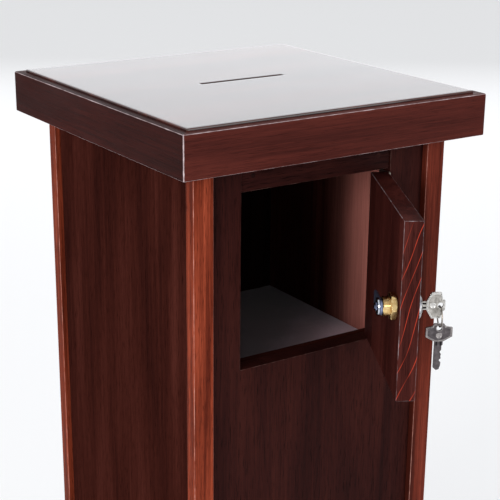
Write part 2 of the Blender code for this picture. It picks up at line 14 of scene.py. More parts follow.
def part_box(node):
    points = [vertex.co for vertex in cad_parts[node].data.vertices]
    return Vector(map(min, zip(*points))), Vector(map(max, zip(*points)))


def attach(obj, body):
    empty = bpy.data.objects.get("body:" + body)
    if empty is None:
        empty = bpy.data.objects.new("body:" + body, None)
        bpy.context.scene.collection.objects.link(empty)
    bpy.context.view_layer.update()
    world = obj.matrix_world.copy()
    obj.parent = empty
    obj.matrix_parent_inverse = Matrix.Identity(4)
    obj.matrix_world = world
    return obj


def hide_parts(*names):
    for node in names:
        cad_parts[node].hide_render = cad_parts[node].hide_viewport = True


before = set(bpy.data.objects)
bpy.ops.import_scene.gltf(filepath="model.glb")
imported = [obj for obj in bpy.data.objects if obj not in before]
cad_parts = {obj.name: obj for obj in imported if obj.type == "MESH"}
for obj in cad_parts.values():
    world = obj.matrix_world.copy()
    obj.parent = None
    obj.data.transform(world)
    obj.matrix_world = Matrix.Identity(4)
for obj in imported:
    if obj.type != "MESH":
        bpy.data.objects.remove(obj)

LOG = logging.getLogger("donation_box")
Tint = tuple[float, float, float, float]
Value = Union[float, Sequence[float], bpy.types.NodeSocket]
MM = 0.001  # a millimetre in metres
ARC_STEPS = 4  # the chords in each arris's and corner's arc
POINT_OF_ARC = 1e-5  # the radius that a rounded corner keeps when it is inset past its centre
CORNER_OVER_ARRIS = 5e-5  # how much larger than its arrises a plate's corners are
FADE_STRETCH = 1.3  # how far the pale edge mark, of rubbing and painted highlight, fades along an outline, in widths of its fade over a face
EDGE_SHARE = 0.33  # the most of a straight edge that each end's fade takes
WALL_SHARE = 0.4  # the most of a plate's wall that each arris's fade takes
OPENING_WEAR = 0.3  # how worn an opening's edges are beside a plate's outer ones
CREASE = math.radians(35.0)  # the angle past which an edge without normals of its own is sharp
PAINTED_LIGHT_AT_MIDDLE = 0.25  # painted light: how much of the pale unlacquered tint shows on an inner face at the middle of the box
PAINTED_LIGHT_FORWARDS = 10.5  # painted light: how much more shows for each metre towards the front


class Axis(Enum):
    """The world axis that the fibres of a board run along."""

    X = 0
    Y = 1
    Z = 2


class Body(Enum):
    """The moving bodies of the CAD frame."""

    CABINET = "cabinet"
    DOOR = "door"
    PLUG = "lock_plug"
    KEY = "inserted_key"
    RING = "key_ring"
    SPARE = "spare_key"


def srgb(red: float, green: float, blue: float) -> Tint:
    """Turn a display colour into the linear colour that a shader takes.

    Args:
        red: the display's red, from 0 to 255.
        green: its green.
        blue: its blue.

    Returns:
        The colour, with full opacity.
    """
    value = np.array([red, green, blue]) / 255.0
    linear = np.where(value <= 0.04045, value / 12.92, ((value + 0.055) / 1.055) ** 2.4)
    return (float(linear[0]), float(linear[1]), float(linear[2]), 1.0)


# ---------------------------------------------------------------- surfaces


@dataclass
class Surface:
    """A closed surface and what the finishes read from it.

    grain holds, for each point, the distance along the fibres, across them and through the board.
    wear is 1 on an exposed edge and 0 on an open face; it stands for real rubbing and, with some
    finishes' pale tints, for a painted highlight. bare is set on a face that was stained but not
    lacquered, and its strength, which grows towards the front, is painted light; sawn is 1 on a
    sawn edge.
    """

    points: np.ndarray
    faces: list
    normals: Optional[np.ndarray] = None
    wear: Optional[np.ndarray] = None
    grain: Optional[np.ndarray] = None
    bare: Optional[np.ndarray] = None
    sawn: Optional[np.ndarray] = None

    def placed(self, matrix: Matrix) -> "Surface":
        """Carry the points and normals to a new place.

        Args:
            matrix: the rigid transform from the surface's own frame to the world.

        Returns:
            This surface, moved. The grain stays in the surface's own frame.
        """
        turn = np.array(matrix.to_3x3())
        shift = np.array(matrix.translation)
        self.points = self.points @ turn.T + shift
        if self.normals is not None:
            self.normals = self.normals @ turn.T
        return self


def rectangle(left: float, low: float, right: float, high: float) -> np.ndarray:
    """Give a rectangle's corners, anticlockwise from the lower left."""
    return np.array([(left, low), (right, low), (right, high), (left, high)])


def ring_angles(columns: int) -> np.ndarray:
    """Give the angles of the points in a ring."""
    return np.arange(columns) * 2 * np.pi / columns


def upright(back: float) -> Matrix:
    """Stand a plate made flat on its edge, facing forwards with its underside at Y = back."""
    return Matrix(((1, 0, 0, 0), (0, 0, -1, back), (0, 1, 0, 0), (0, 0, 0, 1)))


def grid_faces(rows: int, columns: int, wrap_rows: bool) -> np.ndarray:
    """Join the neighbours of a grid whose columns close on themselves in four-sided faces.

    Args:
        rows: how many rings the grid has.
        columns: how many points are in each ring.
        wrap_rows: whether the last ring joins the first.

    Returns:
        The indices of the corners of each face, which look outwards when the columns go
        anticlockwise and the rows go up.
    """
    ring = np.arange(rows if wrap_rows else rows - 1)
    row, column = np.meshgrid(ring, np.arange(columns), indexing="ij")
    after = (column + 1) % columns
    above = (row + 1) % rows
    corners = [row * columns + column, row * columns + after]
    corners += [above * columns + after, above * columns + column]
    return np.stack(corners, -1).reshape(-1, 4)


@dataclass
class Outline:
    """A closed flat outline with rounded corners, sampled in columns.

    Each column has the centre of its corner's arc, the outward normal and the signed
    radius, positive at an outside corner and negative at an inside one. Between corners
    there are two more columns on the straight edge, whose radius is nil. Insetting by d
    moves a point to centre + normal * (radius - d).
    """

    centre: np.ndarray
    mitre: np.ndarray
    normal: np.ndarray
    radius: np.ndarray
    wear: np.ndarray

    @classmethod
    def of(
        cls,
        corners: Sequence[Sequence[float]],
        radii: Union[float, Sequence[float]],
        margin: float,
    ) -> "Outline":
        """Sample the outline of a polygon.

        Args:
            corners: the polygon's corners, anticlockwise.
            radii: the radius of every corner, or one for each.
            margin: how far from an arris its pale edge mark, of rubbing and painted highlight, has
                died out.

        Returns:
            The sampled outline.
        """
        spot = np.array(corners, float)
        count = len(spot)
        size = np.broadcast_to(np.asarray(radii, float), (count,))
        along = np.roll(spot, -1, 0) - spot
        length = np.linalg.norm(along, axis=1, keepdims=True)
        along = along / length
        outward = np.stack([along[:, 1], -along[:, 0]], 1)
        before = np.roll(outward, 1, 0)
        mitre = (before + outward) / (1 + (before * outward).sum(1, keepdims=True))
        came = np.roll(along, 1, 0)
        bend = came[:, 0] * along[:, 1] - came[:, 1] * along[:, 0]
        sign = np.sign(bend)
        signed = sign * size
        centre = spot - signed[:, None] * mitre
        turn = np.arctan2(bend, (came * along).sum(1))
        start = np.arctan2(before[:, 1], before[:, 0])
        share = np.linspace(0, 1, ARC_STEPS + 1)
        angle = start[:, None] + share[None, :] * turn[:, None]
        arc_normal = np.stack([np.cos(angle), np.sin(angle)], -1)
        shape = (count, ARC_STEPS + 1, 2)
        arc_centre = np.broadcast_to(centre[:, None, :], shape)
        arc_mitre = np.broadcast_to(mitre[:, None, :], shape)
        arc_radius = np.broadcast_to(signed[:, None], shape[:2])
        arc_wear = np.broadcast_to(0.5 + 0.5 * np.sin(np.pi * share), shape[:2])
        reach = size * np.abs(np.tan(turn / 2))
        free = length[:, 0] - reach - np.roll(reach, -1)
        step = np.minimum(margin * FADE_STRETCH, EDGE_SHARE * free)[:, None]
        first = spot + along * (reach[:, None] + step)
        last = np.roll(spot, -1, 0) - along * (np.roll(reach, -1)[:, None] + step)
        edge = np.stack([first, last], 1)
        edge_normal = np.broadcast_to(outward[:, None, :], (count, 2, 2))
        none = np.zeros((count, 2))
        return cls(
            np.concatenate([arc_centre, edge], 1).reshape(-1, 2),
            np.concatenate([arc_mitre, edge_normal], 1).reshape(-1, 2),
            np.concatenate([arc_normal, edge_normal], 1).reshape(-1, 2),
            np.concatenate([arc_radius, none], 1).reshape(-1),
            np.concatenate([arc_wear, none], 1).reshape(-1),
        )

    def inset(self, depth: np.ndarray) -> np.ndarray:
        """Move the outline inwards, once for each depth.

        Past the centre of an outside corner's arc, its points follow the corner's mitre.

        Args:
            depth: how far each ring lies inside the outline.

        Returns:
            The points, one row for each depth and one column for each sample.
        """
        rest = self.radius[None, :] - depth[:, None]
        past = (self.radius[None, :] > 0) & (rest < POINT_OF_ARC)
        swing = np.where(past, POINT_OF_ARC, rest)[..., None] * self.normal[None]
        slide = np.where(past, POINT_OF_ARC - rest, 0.0)[..., None] * self.mitre[None]
        return self.centre[None] + swing - slide


def eased_rings(thickness: float, arris: float, margin: float) -> np.ndarray:
    """Give the section of a plate's edge, from its underside round to its top.

    A quarter circle of the arris's radius joins the wall to each face.

    Args:
        thickness: the plate's thickness.
        arris: the radius of both arrises.
        margin: how far from an arris its pale edge mark, of rubbing and painted highlight, has died
            out.

    Returns:
        Rows of inset, height, outward share and upward share of the normal, and the edge mark of
        rubbing and painted highlight.
    """
    turn = np.linspace(0, np.pi / 2, ARC_STEPS + 1)
    worn_and_highlit = 0.5 + 0.5 * np.sin(2 * turn)
    lower = np.stack(
        [arris * (1 - np.sin(turn)), arris * (1 - np.cos(turn)), np.sin(turn), -np.cos(turn), worn_and_highlit],
        1,
    )
    margin = min(margin, (thickness - 2 * arris) * WALL_SHARE)
    cap = [[arris + margin, 0.0, 0.0, -1.0, 0.0]]
    wall = [[0.0, arris + margin, 1.0, 0.0, 0.0]]
    lower = np.concatenate([cap, lower, wall])
    upper = lower[::-1] * [1, -1, 1, -1, 1] + [0, thickness, 0, 0, 0]
    return np.concatenate([lower, upper])


def sweep(outline: Outline, rings: np.ndarray) -> Surface:
    """Carry an edge section round an outline, in the outline's own frame.

    Args:
        outline: the outline, seen from above.
        rings: the section, as eased_rings gives it.

    Returns:
        The open band of the section, without faces.
    """
    flat = outline.inset(rings[:, 0])
    height = np.broadcast_to(rings[:, 1][:, None, None], (*flat.shape[:2], 1))
    out = outline.normal[None] * rings[:, 2][:, None, None]
    rise = np.broadcast_to(rings[:, 3][:, None, None], height.shape)
    wall = (rings[:, 2] == 1.0)[:, None]
    wear = np.maximum(rings[:, 4][:, None], outline.wear[None] * wall)
    return Surface(
        np.concatenate([flat, height], -1).reshape(-1, 3),
        [],
        np.concatenate([out, rise], -1).reshape(-1, 3),
        wear.reshape(-1),
    )


def slab(
    corners: Sequence[Sequence[float]],
    thickness: float,
    arris: float,
    radii: Union[float, Sequence[float], None] = None,
    margin: float = 3 * MM,
) -> Surface:
    """Make a plate of any outline whose arrises and corners are all eased.

    Args:
        corners: the outline's corners, anticlockwise, in the plate's own plane.
        thickness: the plate's thickness, upwards from that plane.
        arris: the radius of the arrises.
        radii: the radius of the corners, about the arris's own if it isn't given.
        margin: how far from an edge its pale edge mark, of rubbing and painted highlight, has died
            out.

    Returns:
        The closed plate.
    """
    size = arris + CORNER_OVER_ARRIS if radii is None else radii
    outline = Outline.of(corners, size, margin)
    rings = eased_rings(thickness, arris, margin)
    band = sweep(outline, rings)
    rows, columns = len(rings), len(outline.radius)
    under = list(range(columns))[::-1]
    over = list(range((rows - 1) * columns, rows * columns))
    band.faces = grid_faces(rows, columns, False).tolist() + [under, over]
    return band


def pierced_slab(
    corners: Sequence[Sequence[float]],
    opening: Sequence[Sequence[float]],
    thickness: float,
    arris: float,
    opening_arris: float,
) -> Surface:
    """Make a plate with one opening, whose arrises are all eased.

    The plate's edge section is followed round and into the opening's, so that one grid
    closes on itself through the hole. The two outlines have the same number of corners.

    Args:
        corners: the plate's corners, anticlockwise.
        opening: the opening's corners, anticlockwise.
        thickness: the plate's thickness, upwards.
        arris: the radius of the outer arrises.
        opening_arris: the radius of the opening's arrises.

    Returns:
        The closed plate.
    """
    margin = 3 * MM
    edge = Outline.of(corners, arris + CORNER_OVER_ARRIS, margin)
    outer = sweep(edge, eased_rings(thickness, arris, margin))
    inner_rings = eased_rings(thickness, opening_arris, margin)[::-1]
    hole = Outline.of(opening, opening_arris * 1.5, margin)
    flipped = Outline(hole.centre, hole.mitre, -hole.normal, -hole.radius, hole.wear)
    inner = sweep(flipped, inner_rings)
    inner.wear *= OPENING_WEAR
    points = np.concatenate([outer.points, inner.points])
    normals = np.concatenate([outer.normals, inner.normals])
    wear = np.concatenate([outer.wear, inner.wear])
    columns = len(hole.radius)
    faces = grid_faces(len(points) // columns, columns, True).tolist()
    return Surface(points, faces, normals, wear)


def turned(radius: np.ndarray, height: np.ndarray, closed: bool) -> Surface:
    """Make a turned piece whose radius may vary with the angle.

    A point lies at (radius * cos angle, radius * sin angle, height).

    Args:
        radius: a row for each ring and a column for each angle.
        height: the height of each of those points.
        closed: whether the last ring joins the first; if not, each end is one flat face.

    Returns:
        The turned piece, standing on its axis.
    """
    rows, columns = radius.shape
    angle = ring_angles(columns)
    points = np.stack([radius * np.cos(angle), radius * np.sin(angle), height], -1)
    faces = grid_faces(rows, columns, closed).tolist()
    if not closed:
        faces += [list(range(columns))[::-1], list(range((rows - 1) * columns, rows * columns))]
    grain = np.stack([radius * angle, height, radius], -1)
    return Surface(points.reshape(-1, 3), faces, None, None, grain.reshape(-1, 3))


def lathe(profile: Sequence[Sequence[float]], columns: int, closed: bool = False) -> Surface:
    """Turn a profile of radius and height about its axis.

    Args:
        profile: pairs of radius and height, from the lower end round the outside.
        columns: how many points each ring has.
        closed: whether the profile closes on itself, as a ring's does.

    Returns:
        The turned piece.
    """
    pairs = np.array(profile, float)
    shape = (len(pairs), columns)
    radius = np.broadcast_to(pairs[:, :1], shape)
    return turned(radius, np.broadcast_to(pairs[:, 1:], shape), closed)


def joined(parts: Sequence[Surface]) -> Surface:
    """Put several surfaces in one.

    Args:
        parts: the surfaces.

    Returns:
        One surface with all their points and faces. It keeps only the grain.
    """
    start = np.cumsum([0] + [len(part.points) for part in parts])
    faces = [
        [at + shift for at in face] for part, shift in zip(parts, start) for face in part.faces
    ]
    points = np.concatenate([part.points for part in parts])
    return Surface(points, faces, None, None, points.copy())


def seed_of(name: str) -> np.ndarray:
    """Give each named board its own stretch of timber, far from the others."""
    total = sum((place + 1) * ord(letter) for place, letter in enumerate(name))
    return np.array([(total % 97) * 0.37, (total % 89) * 0.21, (total % 83) * 0.17])


def lay_grain(surface: Surface, name: str, fibres: Axis) -> Surface:
    """Give a surface its grain coordinates, before it is placed.

    Args:
        surface: the board, in its own frame.
        name: the board's name, which picks its stretch of timber.
        fibres: the axis of that frame along the fibres.

    Returns:
        The same surface.
    """
    order = [(fibres.value + step) % 3 for step in range(3)]
    surface.grain = surface.points[:, order] + seed_of(name)
    return surface


def put(name: str, data: bpy.types.ID) -> bpy.types.Object:
    """Add an object to the scene.

    Args:
        name: its name.
        data: its mesh, light or camera.

    Returns:
        The object.
    """
    made = bpy.data.objects.new(name, data)
    bpy.context.scene.collection.objects.link(made)
    return made


def add_piece(
    name: str,
    surface: Surface,
    finish: bpy.types.Material,
    body: Body,
    replaced: Sequence[str] = (),
) -> bpy.types.Object:
    """Put a surface in the scene as a finished piece that rides on a body.

    Args:
        name: the piece's name.
        surface: its surface, in the world frame.
        finish: its material.
        body: the body that carries it.
        replaced: the CAD nodes that it stands for.

    Returns:
        The piece.
    """
    mesh = bpy.data.meshes.new(name)
    mesh.from_pydata(surface.points, [], surface.faces)
    mesh.shade_smooth()
    if surface.normals is None:
        mesh.set_sharp_from_angle(angle=CREASE)
    for label, kind, field, values in (
        ("wear", "FLOAT", "value", surface.wear),
        ("bare", "FLOAT", "value", surface.bare),
        ("sawn", "FLOAT", "value", surface.sawn),
        ("grain", "FLOAT_VECTOR", "vector", surface.grain),
    ):
        if values is not None:
            layer = mesh.attributes.new(label, kind, "POINT")
            layer.data.foreach_set(field, np.ascontiguousarray(values, np.float32).ravel())
    if surface.normals is not None:
        mesh.normals_split_custom_set_from_vertices(surface.normals.tolist())
    mesh.validate()
    mesh.materials.append(finish)
    piece = put(name, mesh)
    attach(piece, body.value)
    if replaced:
        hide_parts(*replaced)
    LOG.info("%s: %d faces on %s", name, len(mesh.polygons), body.value)
    return piece


# ---------------------------------------------------------------- finishes


class Recipe:
    """A material under construction, with short calls for the nodes that the finishes use."""

    def __init__(self, name: str) -> None:
        """Start a material with its shader.

        Args:
            name: the material's name.
        """
        self.material = bpy.data.materials.new(name)
        self.material.use_nodes = True
        self.tree = self.material.node_tree
        self.shader = self.tree.nodes["Principled BSDF"]

    def feed(self, socket: bpy.types.NodeSocket, value: Value) -> None:
        """Link or set one input.

        Args:
            socket: the input.
            value: another node's output, or the number or colour to set.
        """
        if isinstance(value, bpy.types.NodeSocket):
            self.tree.links.new(value, socket)
        else:
            socket.default_value = value

    def node(self, kind: str, inputs: dict, **settings: object) -> bpy.types.Node:
        """Add a node.

        Args:
            kind: the node's type, without its ShaderNode prefix.
            inputs: what each input takes, by name or index.
            **settings: the node's own settings.

        Returns:
            The node.
        """
        made = self.tree.nodes.new("ShaderNode" + kind)
        for key, value in settings.items():
            setattr(made, key, value)
        for key, value in inputs.items():
            self.feed(made.inputs[key], value)
        return made

    def attribute(self, name: str, vector: bool = False) -> bpy.types.NodeSocket:
        """Read a value or vector that is stored on the piece's points."""
        made = self.node("Attribute", {}, attribute_name=name)
        return made.outputs["Vector" if vector else "Fac"]

    def place(self, fibres: Optional[Axis]) -> bpy.types.NodeSocket:
        """Give the coordinates along, across and through the fibres.

        Args:
            fibres: the world axis along the fibres, or None to read the piece's own grain.

        Returns:
            The vector output.
        """
        if fibres is None:
            return self.attribute("grain", True)
        where = self.node("TexCoord", {}).outputs["Object"]
        parts = self.node("SeparateXYZ", {0: where}).outputs
        order = [(fibres.value + step) % 3 for step in range(3)]
        turned_round = self.node("CombineXYZ", {k: parts[a] for k, a in enumerate(order)})
        return turned_round.outputs[0]

    def noise(
        self,
        vector: bpy.types.NodeSocket,
        scale: Sequence[float],
        detail: float = 2.0,
        roughness: float = 0.5,
        distortion: float = 0.0,
    ) -> bpy.types.NodeSocket:
        """Add noise with its own scale along each axis.

        Args:
            vector: the coordinates, in metres.
            scale: how many features each metre has, along each axis.
            detail: how many finer octaves are added.
            roughness: how strong the finer octaves are.
            distortion: how far the pattern is stirred.

        Returns:
            The noise, about 0.5 on average.
        """
        stretched = self.node("Mapping", {"Vector": vector, "Scale": scale}).outputs[0]
        inputs = {"Vector": stretched, "Scale": 1.0, "Detail": detail}
        inputs |= {"Roughness": roughness, "Distortion": distortion}
        return self.node("TexNoise", inputs).outputs["Fac"]

    def math(self, operation: str, first: Value, second: Value = 0.0) -> bpy.types.NodeSocket:
        """Combine two numbers."""
        return self.node("Math", {0: first, 1: second}, operation=operation).outputs[0]

    def remap(
        self, value: Value, low: float, high: float, to_low: float = 0.0, to_high: float = 1.0
    ) -> bpy.types.NodeSocket:
        """Stretch a range of values to another, and hold it at its ends.

        Args:
            value: the value.
            low: the value that becomes to_low.
            high: the value that becomes to_high.
            to_low: the result at low.
            to_high: the result at high.

        Returns:
            The stretched value.
        """
        inputs = {"Value": value, "From Min": low, "From Max": high}
        inputs |= {"To Min": to_low, "To Max": to_high}
        return self.node("MapRange", inputs, clamp=True).outputs["Result"]

    def mix(
        self, share: Value, first: Value, second: Value, blend: str = "MIX"
    ) -> bpy.types.NodeSocket:
        """Blend two colours.

        Args:
            share: how much of the second shows.
            first: the colour underneath.
            second: the colour on top.
            blend: how they are combined.

        Returns:
            The blended colour.
        """
        inputs = {0: share, 6: first, 7: second}
        made = self.node("Mix", inputs, data_type="RGBA", blend_type=blend)
        return made.outputs[2]

    def ramp(self, value: Value, stops: Sequence[tuple[float, Tint]]) -> bpy.types.NodeSocket:
        """Turn a number into a colour along a ramp.

        Args:
            value: the number.
            stops: each stop's position and colour.

        Returns:
            The colour.
        """
        made = self.node("ValToRGB", {0: value})
        band = made.color_ramp
        band.elements[0].position = stops[0][0]
        band.elements[0].color = stops[0][1]
        band.elements[1].position = stops[-1][0]
        band.elements[1].color = stops[-1][1]
        for position, tint in stops[1:-1]:
            band.elements.new(position).color = tint
        return made.outputs[0]

    def finish(
        self,
        colour: Value,
        roughness: Value,
        relief: Value,
        depth: float,
        **constants: Value,
    ) -> bpy.types.Material:
        """Connect the shader.

        Args:
            colour: the base colour.
            roughness: the roughness.
            relief: the height that the bump follows.
            depth: how deep that bump is, in metres.
            **constants: the shader's constant inputs, with _ for a space.

        Returns:
            The finished material.
        """
        bump = self.node("Bump", {"Strength": 1.0, "Distance": depth, "Height": relief})
        self.feed(self.shader.inputs["Base Color"], colour)
        self.feed(self.shader.inputs["Roughness"], roughness)
        self.feed(self.shader.inputs["Normal"], bump.outputs[0])
        for key, value in constants.items():
            self.shader.inputs[key.replace("_", " ")].default_value = value
        return self.material


@dataclass(frozen=True)
class WoodFinish:
    """A stained and lacquered hardwood.

    The colour follows broad figure, streaks of a few millimetres, fine fibres and open pores, each
    a noise drawn out along the fibres. It goes pale along exposed edges: real rubbing, and with the
    frame's and the posts' pale tints a painted highlight.
    """

    name: str
    dark: Tint
    mid: Tint
    light: Tint
    worn_and_highlit: Tint
    wear: float
    roughness: tuple[float, float]
    coat: float = 0.0
    coat_roughness: float = 0.15
    specular: float = 0.02
    # Painted light: the pale tint of unlacquered inner faces, strongest near the front where light
    # falls in.
    bare: Tint = srgb(232, 146, 132)
    flame: Tint = srgb(196, 66, 44)
    streaks: float = 1.0
    pores: float = 0.6
    chips: float = 0.5
    depth: float = 0.00008

    def make(self, fibres: Optional[Axis] = None) -> bpy.types.Material:
        """Make the material.

        Args:
            fibres: the world axis of the fibres, or None for a piece that carries its grain.

        Returns:
            The material.
        """
        suffix = "" if fibres is None else "_" + fibres.name.lower()
        made = Recipe(self.name + suffix)
        place = made.place(fibres)
        figure = made.noise(place, (2.2, 22.0, 22.0), 2.0, 0.5, 0.6)
        streak = made.noise(place, (5.0, 260.0, 260.0), 4.0, 0.62, 0.25)
        fibre = made.noise(place, (22.0, 1300.0, 1300.0), 3.0, 0.6)
        pore = made.noise(place, (75.0, 1700.0, 1700.0), 1.0, 0.4)
        tone = made.math("MULTIPLY", made.math("SUBTRACT", streak, 0.5), self.streaks)
        fine = made.math("MULTIPLY", made.math("SUBTRACT", fibre, 0.5), 0.45)
        tone = made.math("ADD", made.math("ADD", tone, fine), figure)
        stops = [(0.28, self.dark), (0.5, self.mid), (0.74, self.light)]
        colour = made.ramp(tone, stops)
        hollow = made.remap(pore, 0.60, 0.70)
        darker = made.math("MULTIPLY", hollow, self.pores)
        colour = made.mix(darker, colour, self.dark, "MULTIPLY")
        # Painted light: on unlacquered inner faces this pale tint is mixed in, most towards the
        # front of the box.
        stained = made.mix(made.remap(tone, 0.25, 0.75, 0.6, 0.05), self.bare, colour)
        colour = made.mix(made.attribute("bare"), colour, stained)
        colour = made.mix(self.flames(made, place), colour, self.flame)
        # Pale edges: real rubbing, and on the frame and posts a painted highlight along the
        # arrises.
        patch = made.noise(place, (60.0, 150.0, 150.0), 4.0, 0.68)
        pale_edge_mark = made.math("ADD", made.attribute("wear"), made.math("MULTIPLY", patch, self.chips))
        middle = 0.94 + self.chips / 2
        pale_edge_mark = made.remap(pale_edge_mark, middle - 0.05, middle + 0.28, 0.0, self.wear)
        colour = made.mix(pale_edge_mark, colour, self.worn_and_highlit)
        smudge = made.noise(place, (9.0, 13.0, 13.0), 3.0, 0.6)
        rough = made.remap(smudge, 0.35, 0.68, *self.roughness)
        relief = made.math("ADD", fibre, made.math("MULTIPLY", hollow, -1.2))
        return made.finish(
            colour,
            rough,
            relief,
            self.depth,
            Coat_Weight=self.coat,
            Coat_Roughness=self.coat_roughness,
            Specular_IOR_Level=self.specular,
        )

    @staticmethod
    def flames(made: Recipe, place: bpy.types.NodeSocket) -> bpy.types.NodeSocket:
        """Draw the bright lines where growth rings run out on a sawn edge.

        A line shows where (along - 3.2 across) / 30 mm, bent a little by noise, passes a
        whole number. It shows only where the piece's sawn attribute is set.

        Args:
            made: the material under construction.
            place: the grain coordinates.

        Returns:
            How much of a line shows.
        """
        parts = made.node("SeparateXYZ", {0: place}).outputs
        lean = made.math("MULTIPLY", parts[1], -3.2)
        phase = made.math("MULTIPLY", made.math("ADD", parts[0], lean), 33.0)
        bend = made.noise(place, (9.0, 18.0, 18.0), 1.0, 0.4)
        phase = made.math("ADD", phase, made.math("MULTIPLY", bend, 2.2))
        line = made.remap(made.math("PINGPONG", phase, 0.5), 0.042, 0.006)
        strength = made.remap(made.noise(place, (30.0, 90.0, 90.0), 1.0), 0.34, 0.56, 0.15, 0.9)
        shown = made.math("MULTIPLY", made.attribute("sawn"), strength)
        return made.math("MULTIPLY", line, shown)


@dataclass(frozen=True)
class MetalFinish:
    """A plated or machined metal, with fine tool marks and a little tarnish."""

    name: str
    bright: Tint
    dull: Tint
    roughness: tuple[float, float]
    marks: tuple[float, float, float] = (300.0, 5200.0, 5200.0)
    depth: float = 0.00002

    def make(self, own: bool = False) -> bpy.types.Material:
        """Make the material.

        Args:
            own: whether the piece carries its own grain coordinates.

        Returns:
            The material.
        """
        made = Recipe(self.name + ("_turned" if own else ""))
        place = made.place(None if own else Axis.X)
        marks = made.noise(place, self.marks, 2.0, 0.6)
        cloud = made.noise(place, (260.0, 260.0, 260.0), 3.0, 0.6)
        colour = made.mix(made.remap(cloud, 0.35, 0.72), self.bright, self.dull)
        blend = made.math("MULTIPLY", cloud, 0.6)
        blend = made.math("ADD", blend, made.math("MULTIPLY", marks, 0.4))
        rough = made.remap(blend, 0.35, 0.68, *self.roughness)
        return made.finish(colour, rough, marks, self.depth, Metallic=1.0)


@dataclass(frozen=True)
class FeltFinish:
    """A short-napped felt, mottled by its fibres, with painted light that brightens it towards the
    door.
    """

    name: str
    dark: Tint
    middle: Tint
    light: Tint

    def make(self) -> bpy.types.Material:
        """Make the material, which reads world coordinates.

        Returns:
            The material.
        """
        made = Recipe(self.name)
        place = made.place(Axis.X)
        nap = made.noise(place, (1500.0, 1500.0, 1500.0), 4.0, 0.7)
        patch = made.noise(place, (24.0, 24.0, 24.0), 3.0, 0.6)
        parts = made.node("SeparateXYZ", {0: place}).outputs
        reach = made.math("SUBTRACT", made.math("MULTIPLY", parts[0], 0.8), parts[1])
        # Painted light: the felt brightens towards the door, where light falls in through the
        # opening.
        felt_painted_light = made.remap(reach, 0.0, 0.16)
        tone = made.math("MULTIPLY", made.math("ADD", nap, made.math("MULTIPLY", patch, 0.3)), 0.5)
        tone = made.math("ADD", tone, made.math("MULTIPLY", felt_painted_light, 0.6))
        colour = made.ramp(tone, [(0.26, self.dark), (0.5, self.middle), (0.98, self.light)])
        rough = made.remap(nap, 0.3, 0.7, 0.85, 1.0)
        return made.finish(colour, rough, nap, 0.0004, Sheen_Weight=0.35, Sheen_Roughness=0.5)


@dataclass(frozen=True)
class FloorFinish:
    """The pale matt sweep that the box stands on."""

    name: str
    pale: Tint

    def make(self) -> bpy.types.Material:
        """Make the material, which reads world coordinates.

        Returns:
            The material.
        """
        made = Recipe(self.name)
        grain = made.noise(made.place(Axis.X), (40.0, 40.0, 40.0), 3.0)
        return made.finish(self.pale, made.remap(grain, 0.3, 0.7, 0.8, 0.9), grain, 0.0001)


TOP_LACQUER = WoodFinish(
    "top_lacquer",
    srgb(30, 12, 11),
    srgb(52, 23, 20),
    srgb(84, 38, 30),
    srgb(150, 96, 74),
    wear=0.7,
    roughness=(0.34, 0.42),
    coat=1.0,
    coat_roughness=0.06,
    streaks=0.7,
)
# Painted highlight, partly rubbing: the pale tint and strong edge mark draw bright lines along the
# frame's arrises.
EDGE_LACQUER = WoodFinish(
    "edge_lacquer",
    srgb(52, 22, 19),
    srgb(72, 31, 26),
    srgb(90, 41, 33),
    srgb(216, 198, 200),
    wear=1.9,
    roughness=(0.34, 0.5),
    coat_roughness=0.12,
    streaks=0.4,
    pores=0.25,
    chips=0.3,
)
# Painted shade: a darker copy of the edge finish for the frame's left side.
SHADED_EDGE_LACQUER = replace(
    EDGE_LACQUER,
    name="shaded_edge_lacquer",
    dark=srgb(34, 13, 11),
    mid=srgb(50, 19, 16),
    light=srgb(68, 28, 23),
)
# Painted highlight, partly rubbing: the pale tint and strong edge mark draw bright lines along the
# posts' arrises.
POST_LACQUER = WoodFinish(
    "post_lacquer",
    srgb(84, 31, 19),
    srgb(122, 51, 32),
    srgb(156, 71, 47),
    srgb(222, 164, 150),
    wear=1.5,
    roughness=(0.34, 0.5),
    chips=0.3,
)
# Painted shade: a darker copy of the post finish for the right-hand posts.
SHADED_POST_LACQUER = replace(
    POST_LACQUER,
    name="shaded_post_lacquer",
    dark=srgb(62, 24, 17),
    mid=srgb(94, 38, 27),
    light=srgb(118, 52, 38),
    pores=0.4,
)
PANEL_LACQUER = WoodFinish(
    "panel_lacquer",
    srgb(30, 12, 11),
    srgb(42, 17, 15),
    srgb(55, 24, 20),
    srgb(150, 116, 108),
    wear=0.75,
    roughness=(0.4, 0.55),
    streaks=0.5,
)
SIDE_LACQUER = replace(
    PANEL_LACQUER,
    name="side_lacquer",
    dark=srgb(40, 16, 13),
    mid=srgb(54, 23, 18),
    light=srgb(70, 33, 27),
    specular=0.0,
)
DOOR_LACQUER = WoodFinish(
    "door_lacquer",
    srgb(34, 14, 13),
    srgb(54, 22, 19),
    srgb(78, 36, 31),
    srgb(176, 166, 170),
    wear=1.2,
    roughness=(0.34, 0.48),
    streaks=0.6,
)
